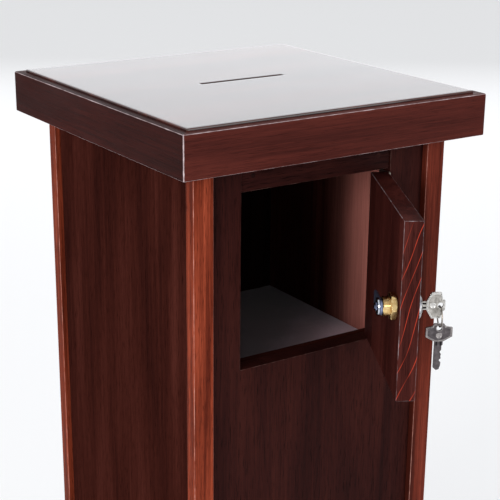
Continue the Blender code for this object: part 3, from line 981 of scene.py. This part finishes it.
# Painted shade: a very dark stain for the back panel's inner face, standing for the shadow inside
# the box.
BACK_PAINTED_SHADE = WoodFinish(
    "back_painted_shade",
    srgb(14, 8, 8),
    srgb(22, 12, 11),
    srgb(34, 18, 16),
    srgb(110, 84, 78),
    wear=0.6,
    roughness=(0.6, 0.8),
    coat_roughness=0.3,
    streaks=0.5,
)
PLUG_STAIN = WoodFinish(
    "plug_stain",
    srgb(26, 12, 11),
    srgb(36, 17, 15),
    srgb(50, 25, 22),
    srgb(120, 92, 86),
    wear=0.3,
    roughness=(0.4, 0.55),
)
INSIDE_STAIN = WoodFinish(
    "inside_stain",
    srgb(58, 26, 18),
    srgb(88, 44, 32),
    srgb(116, 64, 46),
    srgb(150, 100, 76),
    wear=0.4,
    roughness=(0.6, 0.8),
    coat_roughness=0.3,
)
BRASS = MetalFinish("brass", srgb(236, 208, 150), srgb(196, 156, 96), (0.14, 0.30))
CHROME = MetalFinish("chrome", srgb(214, 218, 226), srgb(176, 182, 196), (0.05, 0.16))
NICKEL = MetalFinish("nickel", srgb(224, 222, 218), srgb(176, 174, 170), (0.14, 0.30))
# Painted shade: the keys' flat faces between the reliefs are darker than their nickel reliefs, as
# shade in the recesses.
SHADED_KEY_FACE = MetalFinish("shaded_key_face", srgb(196, 192, 186), srgb(132, 128, 122), (0.3, 0.5))
SHADED_SPARE_NICKEL = MetalFinish("shaded_spare_nickel", srgb(104, 98, 100), srgb(72, 67, 69), (0.28, 0.45))
RIM_NICKEL = MetalFinish("rim_nickel", srgb(168, 162, 160), srgb(120, 115, 116), (0.2, 0.36))
BLUED = MetalFinish("blued_steel", srgb(112, 120, 146), srgb(62, 68, 88), (0.10, 0.2))
CAM_STEEL = MetalFinish("cam_steel", srgb(132, 142, 172), srgb(92, 100, 126), (0.32, 0.5))
# Painted reflection: the dark tone mottled into the flange's nickel stands for the dark rings that
# it reflects.
PAINTED_REFLECTION_NICKEL = MetalFinish("nickel_painted_reflection", srgb(232, 232, 234), srgb(84, 86, 96), (0.12, 0.26))
# Painted shadow: the dark slips in a key's grooves.
PAINTED_GROOVE_SHADOW = MetalFinish("groove_shadow", srgb(44, 42, 44), srgb(26, 25, 27), (0.4, 0.6))
STEEL = MetalFinish("steel", srgb(150, 142, 132), srgb(104, 96, 90), (0.28, 0.48))
# Painted light: the pale light tint is the felt where light falls in near the door.
FELT = FeltFinish("liner_felt", srgb(46, 39, 44), srgb(84, 74, 82), srgb(250, 230, 246))
FLOOR = FloorFinish("pale_floor", srgb(244, 244, 244))


# ---------------------------------------------------------------- pieces


def boxed_board(
    name: str,
    fibres: Axis,
    finish: bpy.types.Material,
    arris: float,
    inside: Optional[Sequence[float]] = None,
) -> bpy.types.Object:
    """Replace a box-shaped CAD board of the cabinet with one whose edges are eased.

    The board's broad outline is a rectangle with eased corners, and a quarter circle
    joins its edge to each face.

    Args:
        name: the CAD node's name.
        fibres: the axis along its fibres.
        finish: its material.
        arris: the radius of its arrises.
        inside: the direction that its unlacquered inner face looks in, if it has one. Its pale
            painted light is strongest at the front of the box and gives way to painted shade
            towards the back.

    Returns:
        The new piece.
    """
    low, high = (np.array(corner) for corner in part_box(name))
    size = high - low
    thin = int(np.argmin(size))
    across, along = (thin + 1) % 3, (thin + 2) % 3
    corners = rectangle(low[across], low[along], high[across], high[along])
    made = slab(corners, float(size[thin]), arris)
    order = np.argsort([across, along, thin])
    made.points = made.points[:, order]
    made.points[:, thin] += low[thin]
    made.normals = made.normals[:, order]
    lay_grain(made, name, fibres)
    if inside is not None:
        # Painted light and shade: the pale unlacquered tint shows more towards the front of the
        # box.
        fade = PAINTED_LIGHT_AT_MIDDLE - PAINTED_LIGHT_FORWARDS * made.points[:, 1]
        made.bare = np.clip(made.normals @ np.array(inside, float), 0, 1) * fade
    return add_piece(name + "_finished", made, finish, Body.CABINET, [name])


@dataclass
class SlottedTop:
    """The slotted top: a lacquered panel that stands a little above its mitred frame."""

    panel_arris: float = 1.2 * MM
    slot_arris: float = 0.9 * MM
    slot_length: float = 100.0 * MM
    slot_width: float = 5.0 * MM
    slot_centre: tuple[float, float] = (1.0 * MM, 2.0 * MM)

    def panel(self) -> Surface:
        """Shape the panel as one closed grid from its edge to its slot and back.

        Returns:
            The panel, with the slot through it.
        """
        low, high = (np.array(corner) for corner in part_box("top_panel"))
        x, y = self.slot_centre
        half, wide = self.slot_length / 2, self.slot_width / 2
        outer = rectangle(low[0], low[1], high[0], high[1])
        opening = rectangle(x - half, y - wide, x + half, y + wide)
        thickness = float(high[2] - low[2])
        made = pierced_slab(outer, opening, thickness, self.panel_arris, self.slot_arris)
        made.points[:, 2] += low[2]
        made.normals = None
        return lay_grain(made, "top_panel", Axis.X)

    def build(self) -> None:
        """Build the panel and the mitred frame round it."""
        lacquer = TOP_LACQUER.make()
        add_piece("slotted_panel", self.panel(), lacquer, Body.CABINET, ["top_panel"])
        MitredFrame("top_edge", 1.6 * MM, 0.9 * MM).build()


@dataclass
class MitredFrame:
    """Four mitred boards round a square, each a profile carried along its side.

    Past the straight part of a side, the outer face follows an arc to the mitre, so the
    frame's corners are eased like its arrises.
    """

    stem: str
    top_arris: float
    low_arris: float
    corner: float = 2.0 * MM
    margin: float = 0.8 * MM

    def profile(self, depth: float, height: float) -> np.ndarray:
        """Give the section of a side.

        Args:
            depth: from the outer face to the inner one.
            height: from the underside to the top.

        Returns:
            Rows of depth, height, outward and upward shares of the normal, and the edge mark of
            rubbing and painted highlight, going up the outer face, inwards over the top and back.
        """
        turn = np.linspace(0, np.pi / 2, 6)
        worn_and_highlit = 0.5 + 0.5 * np.sin(2 * turn)
        small, large, margin = self.low_arris, self.top_arris, self.margin
        sine, cosine = np.sin(turn), np.cos(turn)
        lower = np.stack([small * (1 - sine), small * (1 - cosine), sine, -cosine, worn_and_highlit], 1)
        upper = [large * (1 - cosine), height - large * (1 - sine), cosine, sine, worn_and_highlit]
        upper = np.stack(upper, 1)
        wall = [[0, small + margin, 1, 0, 0], [0, height - large - margin, 1, 0, 0]]
        over = [[large + margin, height, 0, 1, 0], [depth, height, 0, 1, 0]]
        under = [[depth, 0, 0, -1, 0], [small + margin, 0, 0, -1, 0]]
        return np.concatenate([lower, wall, upper, over, under]).astype(float)

    def side(self, quarter: int, half: float, depth: float, low: float, high: float) -> Surface:
        """Shape one side.

        A row at angle a of the corner's arc puts a point of depth d, less than the
        corner's radius r, at (c + (r - d) sin a, -(c + (r - d) cos a)), where c is half
        the square less r. A deeper point stays on its straight line to the mitre.

        Args:
            quarter: how many quarter turns the side is from the front.
            half: half the width of the square.
            depth: the depth of the board.
            low: the height of its underside.
            high: the height of its top.

        Returns:
            The side, closed at both mitres.
        """
        section = self.profile(depth, high - low)
        inner = half - self.corner
        steps = 5
        turn = np.concatenate([np.zeros(steps), np.linspace(0, np.pi / 4, steps)[1:]])
        straight = np.concatenate([np.linspace(0, 1, steps), np.ones(steps - 1)])
        share = np.linspace(0, 1, 2 * steps - 1)
        depths = section[:, 0][None, :]
        rest = self.corner - depths
        sine, cosine = np.sin(turn)[:, None], np.cos(turn)[:, None]
        shallow = rest > 0
        x = np.where(
            shallow, straight[:, None] * inner + rest * sine, share[:, None] * (inner + rest)
        )
        y = np.where(shallow, -(inner + rest * cosine), -(half - depths))
        out_x = np.where(shallow, section[:, 2] * sine, 0.0)
        out_y = np.where(shallow, -section[:, 2] * cosine, -section[:, 2])
        flip = np.array([-1.0, 1.0, 1.0])
        z = np.broadcast_to(section[:, 1] + low, x.shape)
        up = np.broadcast_to(section[:, 3], x.shape)
        right = np.stack([x, y, z], -1)
        right_normal = np.stack([out_x, out_y, up], -1)
        # Painted highlight, partly rubbing: the frame's rounded corners are marked pale like its
        # arrises.
        rounded = np.clip(turn / (np.pi / 7), 0, 1)[:, None] * (section[:, 2] > 0)
        worn_and_highlit = np.maximum(section[:, 4][None, :], rounded)
        points = np.concatenate([right[:0:-1] * flip, right])
        normals = np.concatenate([right_normal[:0:-1] * flip, right_normal])
        wear = np.concatenate([worn_and_highlit[:0:-1], worn_and_highlit])
        rows, columns = points.shape[:2]
        faces = grid_faces(rows, columns, False)[:, ::-1].tolist()
        faces += [list(range(columns)), list(range((rows - 1) * columns, rows * columns))[::-1]]
        made = Surface(points.reshape(-1, 3), faces, normals.reshape(-1, 3), wear.reshape(-1))
        lay_grain(made, f"{self.stem}_{quarter}", Axis.X)
        return made.placed(Matrix.Rotation(quarter * math.pi / 2, 4, "Z"))

    def build(self) -> None:
        """Build the four sides in place of the CAD boards, the left one in a darker copy of the
        finish that paints the shade on that side.
        """
        plain, deep = EDGE_LACQUER.make(), SHADED_EDGE_LACQUER.make()
        for quarter, name in enumerate(("front", "right", "back", "left")):
            node = f"{self.stem}_{name}"
            low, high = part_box(f"{self.stem}_front")
            made = self.side(quarter, -low.y, high.y - low.y, low.z, high.z)
            # The darker finish on the left side is painted shade.
            finish = deep if name == "left" else plain
            add_piece(node + "_finished", made, finish, Body.CABINET, [node])


@dataclass
class Carcass:
    """The corner posts, the panels between them, the rail and the sill."""

    opening_left: float = -92.0 * MM
    opening_right: float = 84.6 * MM
    sill: float = 648.0 * MM

    def front(self) -> Surface:
        """Shape the front panel: one board cut down from its top to the sill.

        Returns:
            The panel, upright.
        """
        low, high = (np.array(corner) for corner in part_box("front_panel"))
        corners = [
            (low[0], low[2]),
            (high[0], low[2]),
            (high[0], high[2]),
            (self.opening_right, high[2]),
            (self.opening_right, self.sill),
            (self.opening_left, self.sill),
            (self.opening_left, high[2]),
            (low[0], high[2]),
        ]
        made = slab(corners, float(high[1] - low[1]), 0.9 * MM)
        lay_grain(made, "front_panel", Axis.Y)
        return made.placed(upright(high[1]))

    def plug(self, name: str) -> Surface:
        """Shape a plug as a low dome that stands just proud of the rail.

        Its height over the rail falls from 0.25 mm as the square of the radius.

        Args:
            name: the CAD node that it stands for.

        Returns:
            The plug.
        """
        low, high = (np.array(corner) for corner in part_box(name))
        middle = (low + high) / 2
        wide, deep, proud = 2.5, 6.0, 0.25
        radius = np.linspace(wide, 0.1, 8)
        dome = deep + proud * (1 - (radius / wide) ** 2)
        profile = np.concatenate([[[wide, 0.0]], np.stack([radius, dome], 1)]) * MM
        made = lathe(profile, 32)
        stand = Matrix.Translation((middle[0], high[1], middle[2]))
        lay_grain(made, name, Axis.X)
        return made.placed(stand @ Matrix.Rotation(math.pi / 2, 4, "X"))

    def back(self, panel: bpy.types.Material, shade: bpy.types.Material) -> None:
        """Build the back panel, with painted shade on the face that looks into the box.

        Args:
            panel: the finish of its outer face and edges.
            shade: the very dark finish of its inner face, which paints the shade inside the box.
        """
        made = boxed_board("back_panel", Axis.Z, panel, 0.8 * MM)
        mesh = made.data
        mesh.materials.append(shade)
        normals = np.zeros(len(mesh.polygons) * 3, np.float32)
        mesh.polygons.foreach_get("normal", normals)
        inner = (normals.reshape(-1, 3)[:, 1] < -0.9).astype(np.int32)
        mesh.polygons.foreach_set("material_index", inner)

    def build(self) -> None:
        """Build every board of the cabinet's body."""
        panel = PANEL_LACQUER.make()
        # The right-hand posts take a darker copy of the finish, as painted shade.
        for side, finish in (("left", POST_LACQUER), ("right", SHADED_POST_LACQUER)):
            post = finish.make()
            for end in ("front", "back"):
                boxed_board(f"corner_post_{end}_{side}", Axis.Z, post, 1.3 * MM)
        inward = {"side_panel_left": (1, 0, 0), "side_panel_right": (-1, 0, 0)}
        side_finish = SIDE_LACQUER.make()
        for name, inside in inward.items():
            boxed_board(name, Axis.Z, side_finish, 0.8 * MM, inside=inside)
        shade = BACK_PAINTED_SHADE.make()
        self.back(panel, shade)
        front = self.front()
        add_piece(
            "front_panel_finished", front, panel, Body.CABINET, ["front_panel"]
        )
        boxed_board("top_rail", Axis.X, panel, 0.8 * MM)
        plug = PLUG_STAIN.make()
        for name in ("rail_plug_1", "rail_plug_2"):
            add_piece(name + "_domed", self.plug(name), plug, Body.CABINET, [name])
        boxed_board("sill_stop", Axis.X, side_finish, 1.0 * MM)
        MitredFrame("base_edge", 1.6 * MM, 1.6 * MM).build()


@dataclass
class DoorAssembly:
    """The cash door, open on its hinge, and the lock that it carries."""

    open_angle: float = math.radians(61.5)
    hinge: tuple[float, float] = (82.3 * MM, -140.8 * MM)
    width: float = 172.7 * MM
    gap: float = 2.3 * MM
    setback: float = 0.8 * MM
    thickness: float = 18.0 * MM
    bottom: float = 651.5 * MM
    top: float = 823.5 * MM
    lock_reach: float = 155.5 * MM
    lock_height: float = 738.5 * MM

    def hinge_frame(self) -> Matrix:
        """Give the frame of the hinge, in which the closed door lies along X."""
        return Matrix.Translation((*self.hinge, 0)) @ Matrix.Rotation(self.open_angle, 4, "Z")

    def lock_frame(self) -> Matrix:
        """Give the frame of the lock, whose Z runs into the box along the lock's axis."""
        spot = Matrix.Translation((-self.lock_reach, self.setback, self.lock_height))
        return self.hinge_frame() @ spot @ Matrix.Rotation(-math.pi / 2, 4, "X")

    def door(self) -> Surface:
        """Shape the door as an eased plate that stands on its edge.

        Returns:
            The door, open, with its free edge marked as sawn.
        """
        corners = rectangle(-self.width, self.bottom, -self.gap, self.top)
        made = slab(corners, self.thickness, 1.1 * MM)
        lay_grain(made, "door", Axis.Y)
        made.sawn = np.clip(-made.normals[:, 0], 0, 1)
        return made.placed(self.hinge_frame() @ upright(self.setback + self.thickness))

    def lock_barrel(self) -> Surface:
        """Shape the lock's threaded barrel.

        Its radius at angle a and height h is its mean plus half the thread's depth times
        the cosine of h / pitch - a, in turns, and no point lies past the two flats.

        Returns:
            The barrel, as a tube along the lock's axis.
        """
        columns, pitch, mean, half_depth = 64, 0.9 * MM, 9.1 * MM, 0.15 * MM
        angle = ring_angles(columns)
        barrel = np.linspace(0.2 * MM, 31.0 * MM, 140)
        helix = mean + half_depth * np.cos(2 * np.pi * barrel[:, None] / pitch - angle)
        flat = 8.7 * MM / np.maximum(np.abs(np.cos(angle)), 1e-3)
        thread = np.minimum(helix, flat[None, :])
        ends = np.array([(6.9, 0.2), (8.4, 31.5), (7.2, 31.5), (6.9, 31.2)]) * MM
        shape = (len(ends), columns)
        plain_radius = np.broadcast_to(ends[:, :1], shape)
        plain_height = np.broadcast_to(ends[:, 1:], shape)
        height = np.broadcast_to(barrel[:, None], thread.shape)
        radius = np.concatenate([plain_radius[:1], thread, plain_radius[1:]])
        return turned(radius, np.concatenate([plain_height[:1], height, plain_height[1:]]), True)

    def lock_flange(self) -> Surface:
        """Shape the plated flange: a stepped and dished ring on the door's outer face.

        Returns:
            The flange, turned from a profile of radius and height.
        """
        profile = [(6.9, -0.2), (6.9, -4.1), (7.2, -4.4), (7.9, -4.5), (8.4, -4.3), (8.8, -3.8)]
        profile += [(9.6, -3.5), (10.9, -3.2), (11.8, -2.6), (12.2, -1.7), (12.2, -0.5)]
        profile += [(12.0, -0.2)]
        return lathe(np.array(profile) * MM, 72, True)

    def lock_nut(self) -> Surface:
        """Shape the hexagonal nut with chamfered corners.

        The radius is the hexagon's, half the flats over the cosine of the angle from the
        nearest flat's middle, and no more than a cone that rises from each face.

        Returns:
            The nut, as a ring round the lock's axis.
        """
        columns, flats, start, height = 96, 22.5 * MM, 18.3 * MM, 6.5 * MM
        angle = ring_angles(columns)
        hexagon = flats / 2 / np.cos(np.mod(angle, np.pi / 3) - np.pi / 6)
        rise = np.array([0.0, 0.15, 0.35, 0.6, 0.95, 1.4]) * MM
        cone = flats / 2 * 0.965 + rise * 1.8
        lower = np.minimum(hexagon[None, :], cone[:, None])
        bore = np.full((1, columns), 9.3 * MM)
        lip = np.full((1, columns), 9.7 * MM)
        radius = np.concatenate([bore, lip, lower, lower[::-1], lip, bore])
        levels = np.concatenate([[0.3 * MM, 0.0], rise])
        levels = np.concatenate([levels, height - levels[::-1]]) + start
        return turned(radius, np.broadcast_to(levels[:, None], radius.shape), True)

    def lock_cam(self) -> Surface:
        """Shape the cam as an eased plate that reaches towards the hinge.

        Returns:
            The cam, in the lock's frame.
        """
        outline = rectangle(-8.5, -7.25, 26.0, 7.25) * MM
        made = slab(outline, 2.2 * MM, 0.35 * MM, np.array([6.0, 3.0, 3.0, 6.0]) * MM, 0.4 * MM)
        made.points[:, 2] += 31.8 * MM
        return lay_grain(made, "lock_cam", Axis.X)

    def build(self) -> None:
        """Build the door and its lock."""
        lock = self.lock_frame()
        door = self.door()
        add_piece("door_finished", door, DOOR_LACQUER.make(), Body.DOOR, ["door"])
        barrel, flange = self.lock_barrel().placed(lock), self.lock_flange().placed(lock)
        brass, steel, flange_reflection = BRASS.make(True), CAM_STEEL.make(True), PAINTED_REFLECTION_NICKEL.make(True)
        add_piece("lock_barrel", barrel, brass, Body.DOOR)
        add_piece("lock_flange", flange, flange_reflection, Body.DOOR, ["lock_body"])
        nut = self.lock_nut().placed(lock)
        add_piece("lock_nut_machined", nut, brass, Body.DOOR, ["lock_nut"])
        cam = self.lock_cam().placed(lock)
        add_piece("lock_cam_plated", cam, steel, Body.PLUG, ["lock_cam"])


@dataclass
class KeyRelief:
    """The raised rim, boss and eyelet on a flat key's two faces, and the painted shadow in its
    grooves.

    A key's own frame has X across it, Y from the end of its bow to its tip and Z through
    the middle of its thickness. The bow, its middle, the thickness and the height and
    radius of the eye and the boss are in millimetres. rim is the rim's inner outline as
    shares of the bow's width and height, and growth is how much larger its outer one is.
    bow_start is where the key's Y starts, along the lock's axis from the door's face.
    spare_start is the same for the spare key, and how far below the axis it starts.
    """

    bow: tuple[tuple[float, float], ...] = (
        (-4.4, 17.0),
        (-12.3, 12.5),
        (-12.3, 3.8),
        (-6.2, 2.6),
        (-4.4, 0.0),
        (4.4, 0.0),
        (6.2, 2.6),
        (12.3, 3.8),
        (12.3, 12.5),
        (4.4, 17.0),
    )
    rim: tuple[float, float] = (0.86, 0.82)
    growth: float = 1.012
    middle: float = 8.5
    thickness: float = 2.5
    eye: tuple[float, float] = (4.2, 2.5)
    boss: tuple[float, float] = (11.4, 2.9)
    bow_start: float = -26.8 * MM
    spare_start: tuple[float, float] = (-22.6 * MM, -18.0 * MM)

    def relief(self) -> Surface:
        """Shape the relief: a ring plate round the bow, a dished boss and an eyelet.

        Returns:
            The three as one surface, in the key's frame.
        """
        bow = np.array(self.bow)
        centre = np.array([0.0, self.middle])
        inner = (bow - centre) * self.rim + centre
        half = self.thickness / 2 * MM
        grown = (bow - centre) * self.growth + centre
        ring = pierced_slab(grown * MM, inner * MM, self.thickness * MM, 0.25 * MM, 0.15 * MM)
        ring.points[:, 2] -= half
        up, size = self.boss
        dish = [(size, -1.25), (size, 1.25), (size - 0.3, 1.4), (size - 0.7, 1.35)]
        dish += [(size - 1.0, 1.1), (size - 1.6, 1.15), (0.2, 1.3)]
        under = [(radius, -height) for radius, height in dish[:1:-1]]
        boss = lathe(np.array(under + dish) * MM, 36)
        boss.points[:, 1] += up * MM
        low, hole = self.eye
        lip = [(hole + 0.1, -1.2), (hole + 0.7, -1.15), (hole + 0.7, 1.15), (hole + 0.1, 1.2)]
        eyelet = lathe(np.array(lip) * MM, 36, True)
        eyelet.points[:, 1] += low * MM
        return joined([ring, boss, eyelet])

    def grooves(self) -> Surface:
        """Shape the painted shadow in the two grooves of the neck as dark slips that show 0.05 mm
        above each face.

        Returns:
            Both slips as one surface, in the key's frame.
        """
        slips = []
        for side in (-2.0, 2.0):
            corners = rectangle(-0.9, 17.4, 0.9, 21.2)
            slip = slab((corners + [side, 0]) * MM, 2.1 * MM, 0.04 * MM, None, 0.02 * MM)
            slip.points[:, 2] -= 1.05 * MM
            slips.append(slip)
        return joined(slips)

    def build(self, lock: Matrix) -> None:
        """Add the relief to the key in the lock and to the spare key below it.

        Args:
            lock: the frame of the lock, whose Z runs into the box.
        """
        inward = lock @ Matrix.Rotation(math.pi / 2, 4, "X")
        start = Matrix.Translation((0, self.bow_start, 0))
        first = inward @ start @ Matrix.Rotation(-math.pi / 2, 4, "Y")
        out, drop = self.spare_start
        hung = Matrix(((0, 0, 1, 0), (-1, 0, 0, out), (0, -1, 0, drop), (0, 0, 0, 1)))
        shadow = PAINTED_GROOVE_SHADOW.make(True)
        for name, place, body, finish in (
            ("key", first, Body.KEY, NICKEL.make(True)),
            ("spare_key", inward @ hung, Body.SPARE, RIM_NICKEL.make(True)),
        ):
            add_piece(name + "_relief", self.relief().placed(place), finish, body)
            add_piece(name + "_grooves", self.grooves().placed(place), shadow, body)


def dress(nodes: Sequence[str], finish: bpy.types.Material) -> None:
    """Give CAD nodes that stay in view a finish.

    Args:
        nodes: the nodes' names.
        finish: the material.
    """
    for name in nodes:
        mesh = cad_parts[name].data
        mesh.materials.clear()
        mesh.materials.append(finish)
    LOG.info("%s dressed: %s", finish.name, ", ".join(nodes))


def dress_frame() -> None:
    """Dress the CAD nodes whose own shape is right."""
    across = [f"{part}_batten_{end}" for part in ("top", "base") for end in ("front", "back")]
    inward = [f"{part}_batten_{side}" for part in ("top", "base") for side in ("left", "right")]
    inward += ["floor_bearer_left", "floor_bearer_right", "top_core_board", "base_board"]
    dress([*across, "compartment_floor"], INSIDE_STAIN.make(Axis.X))
    dress(inward, INSIDE_STAIN.make(Axis.Y))
    dress(["lock_keeper"], INSIDE_STAIN.make(Axis.Z))
    screws = [f"hinge_screw_{side}_{place}" for side in ("body", "door") for place in (1, 2, 3)]
    steel = [*screws, "hinge_leaf_body", "hinge_leaf_door", "hinge_pin", "key_ring"]
    dress([*steel, "keeper_screw_1", "keeper_screw_2"], STEEL.make())
    dress(["cam_washer"], CHROME.make())
    dress(["cam_screw"], BLUED.make())
    dress(["lock_plug"], NICKEL.make())
    dress(["key_inserted"], SHADED_KEY_FACE.make())
    dress(["spare_key"], SHADED_SPARE_NICKEL.make())
    dress(["floor_liner"], FELT.make())


# ---------------------------------------------------------------- studio


@dataclass
class Studio:
    """The pale floor, the soft lights and the camera.

    rise is how far the view is shifted up, as a share of its width, and span is half the
    floor's width.
    """

    azimuth: float = math.radians(-33.669)
    elevation: float = math.radians(19.156)
    roll: float = math.radians(0.536)
    spot: tuple[float, float, float] = (-0.7419, -1.1310, 1.1545)
    lens: float = 95.6
    rise: float = 0.056
    span: float = 14.0
    sky: Tint = (0.97, 0.98, 1.0, 1.0)
    sky_strength: float = 0.85

    def camera(self) -> None:
        """Put the camera at its viewing angle, looking down at the open door."""
        a, e, r = self.azimuth, self.elevation, self.roll
        back = np.array([math.sin(a) * math.cos(e), -math.cos(a) * math.cos(e), math.sin(e)])
        right = np.cross(-back, [0.0, 0.0, 1.0])
        right /= np.linalg.norm(right)
        up = np.cross(back, right)
        across = right * math.cos(r) + up * math.sin(r)
        above = up * math.cos(r) - right * math.sin(r)
        turn = Matrix(np.stack([across, above, back], 1).tolist()).to_4x4()
        data = bpy.data.cameras.new("camera")
        data.lens = self.lens
        data.sensor_width = 36.0
        data.shift_y = self.rise
        data.clip_end = 60.0
        camera = put("camera", data)
        camera.matrix_world = Matrix.Translation(self.spot) @ turn
        bpy.context.scene.camera = camera

    def card(
        self,
        name: str,
        spot: Sequence[float],
        target: Sequence[float],
        size: tuple[float, float],
        power: float,
        tint: Sequence[float] = (1.0, 1.0, 1.0),
    ) -> None:
        """Hang a soft light that faces a point.

        Args:
            name: the light's name.
            spot: the middle of the light.
            target: the point that it faces.
            size: its width and height.
            power: its power in watts.
            tint: its colour.
        """
        data = bpy.data.lights.new(name, "AREA")
        data.shape = "RECTANGLE"
        data.size, data.size_y = size
        data.energy = power
        data.color = tint
        light = put(name, data)
        turn = (Vector(spot) - Vector(target)).to_track_quat("Z", "Y").to_matrix().to_4x4()
        light.matrix_world = Matrix.Translation(spot) @ turn
        light.visible_camera = False

    def build(self) -> None:
        """Set up the floor, the surroundings, the lights and the camera."""
        corners = [(x, y, 0.0) for x, y in rectangle(-self.span, -self.span, self.span, self.span)]
        mesh = bpy.data.meshes.new("floor")
        mesh.from_pydata(corners, [], [(0, 1, 2, 3)])
        mesh.materials.append(FLOOR.make())
        floor = put("floor", mesh)
        world = bpy.data.worlds.new("studio")
        world.use_nodes = True
        inputs = world.node_tree.nodes["Background"].inputs
        inputs[0].default_value, inputs[1].default_value = self.sky, self.sky_strength
        bpy.context.scene.world = world
        bpy.context.scene.view_settings.view_transform = "Standard"
        self.card("back_card", (2.4, 3.6, 2.6), (0, 0, 0.9), (6.0, 3.4), 54.0, (0.95, 0.96, 1.0))
        self.card("side_card", (-2.9, -1.5, 1.5), (0.0, -0.1, 0.75), (1.0, 1.0), 46.0)
        self.card("front_card", (1.4, -3.2, 1.5), (0.0, 0.0, 0.7), (2.0, 2.0), 30.0)
        self.camera()


def main() -> None:
    """Build the box's looks in order, then the studio."""
    logging.basicConfig(level=logging.INFO, format="%(message)s")
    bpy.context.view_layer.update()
    SlottedTop().build()
    Carcass().build()
    door = DoorAssembly()
    door.build()
    KeyRelief().build(door.lock_frame())
    dress_frame()
    Studio().build()


if __name__ == "__main__":
    main()
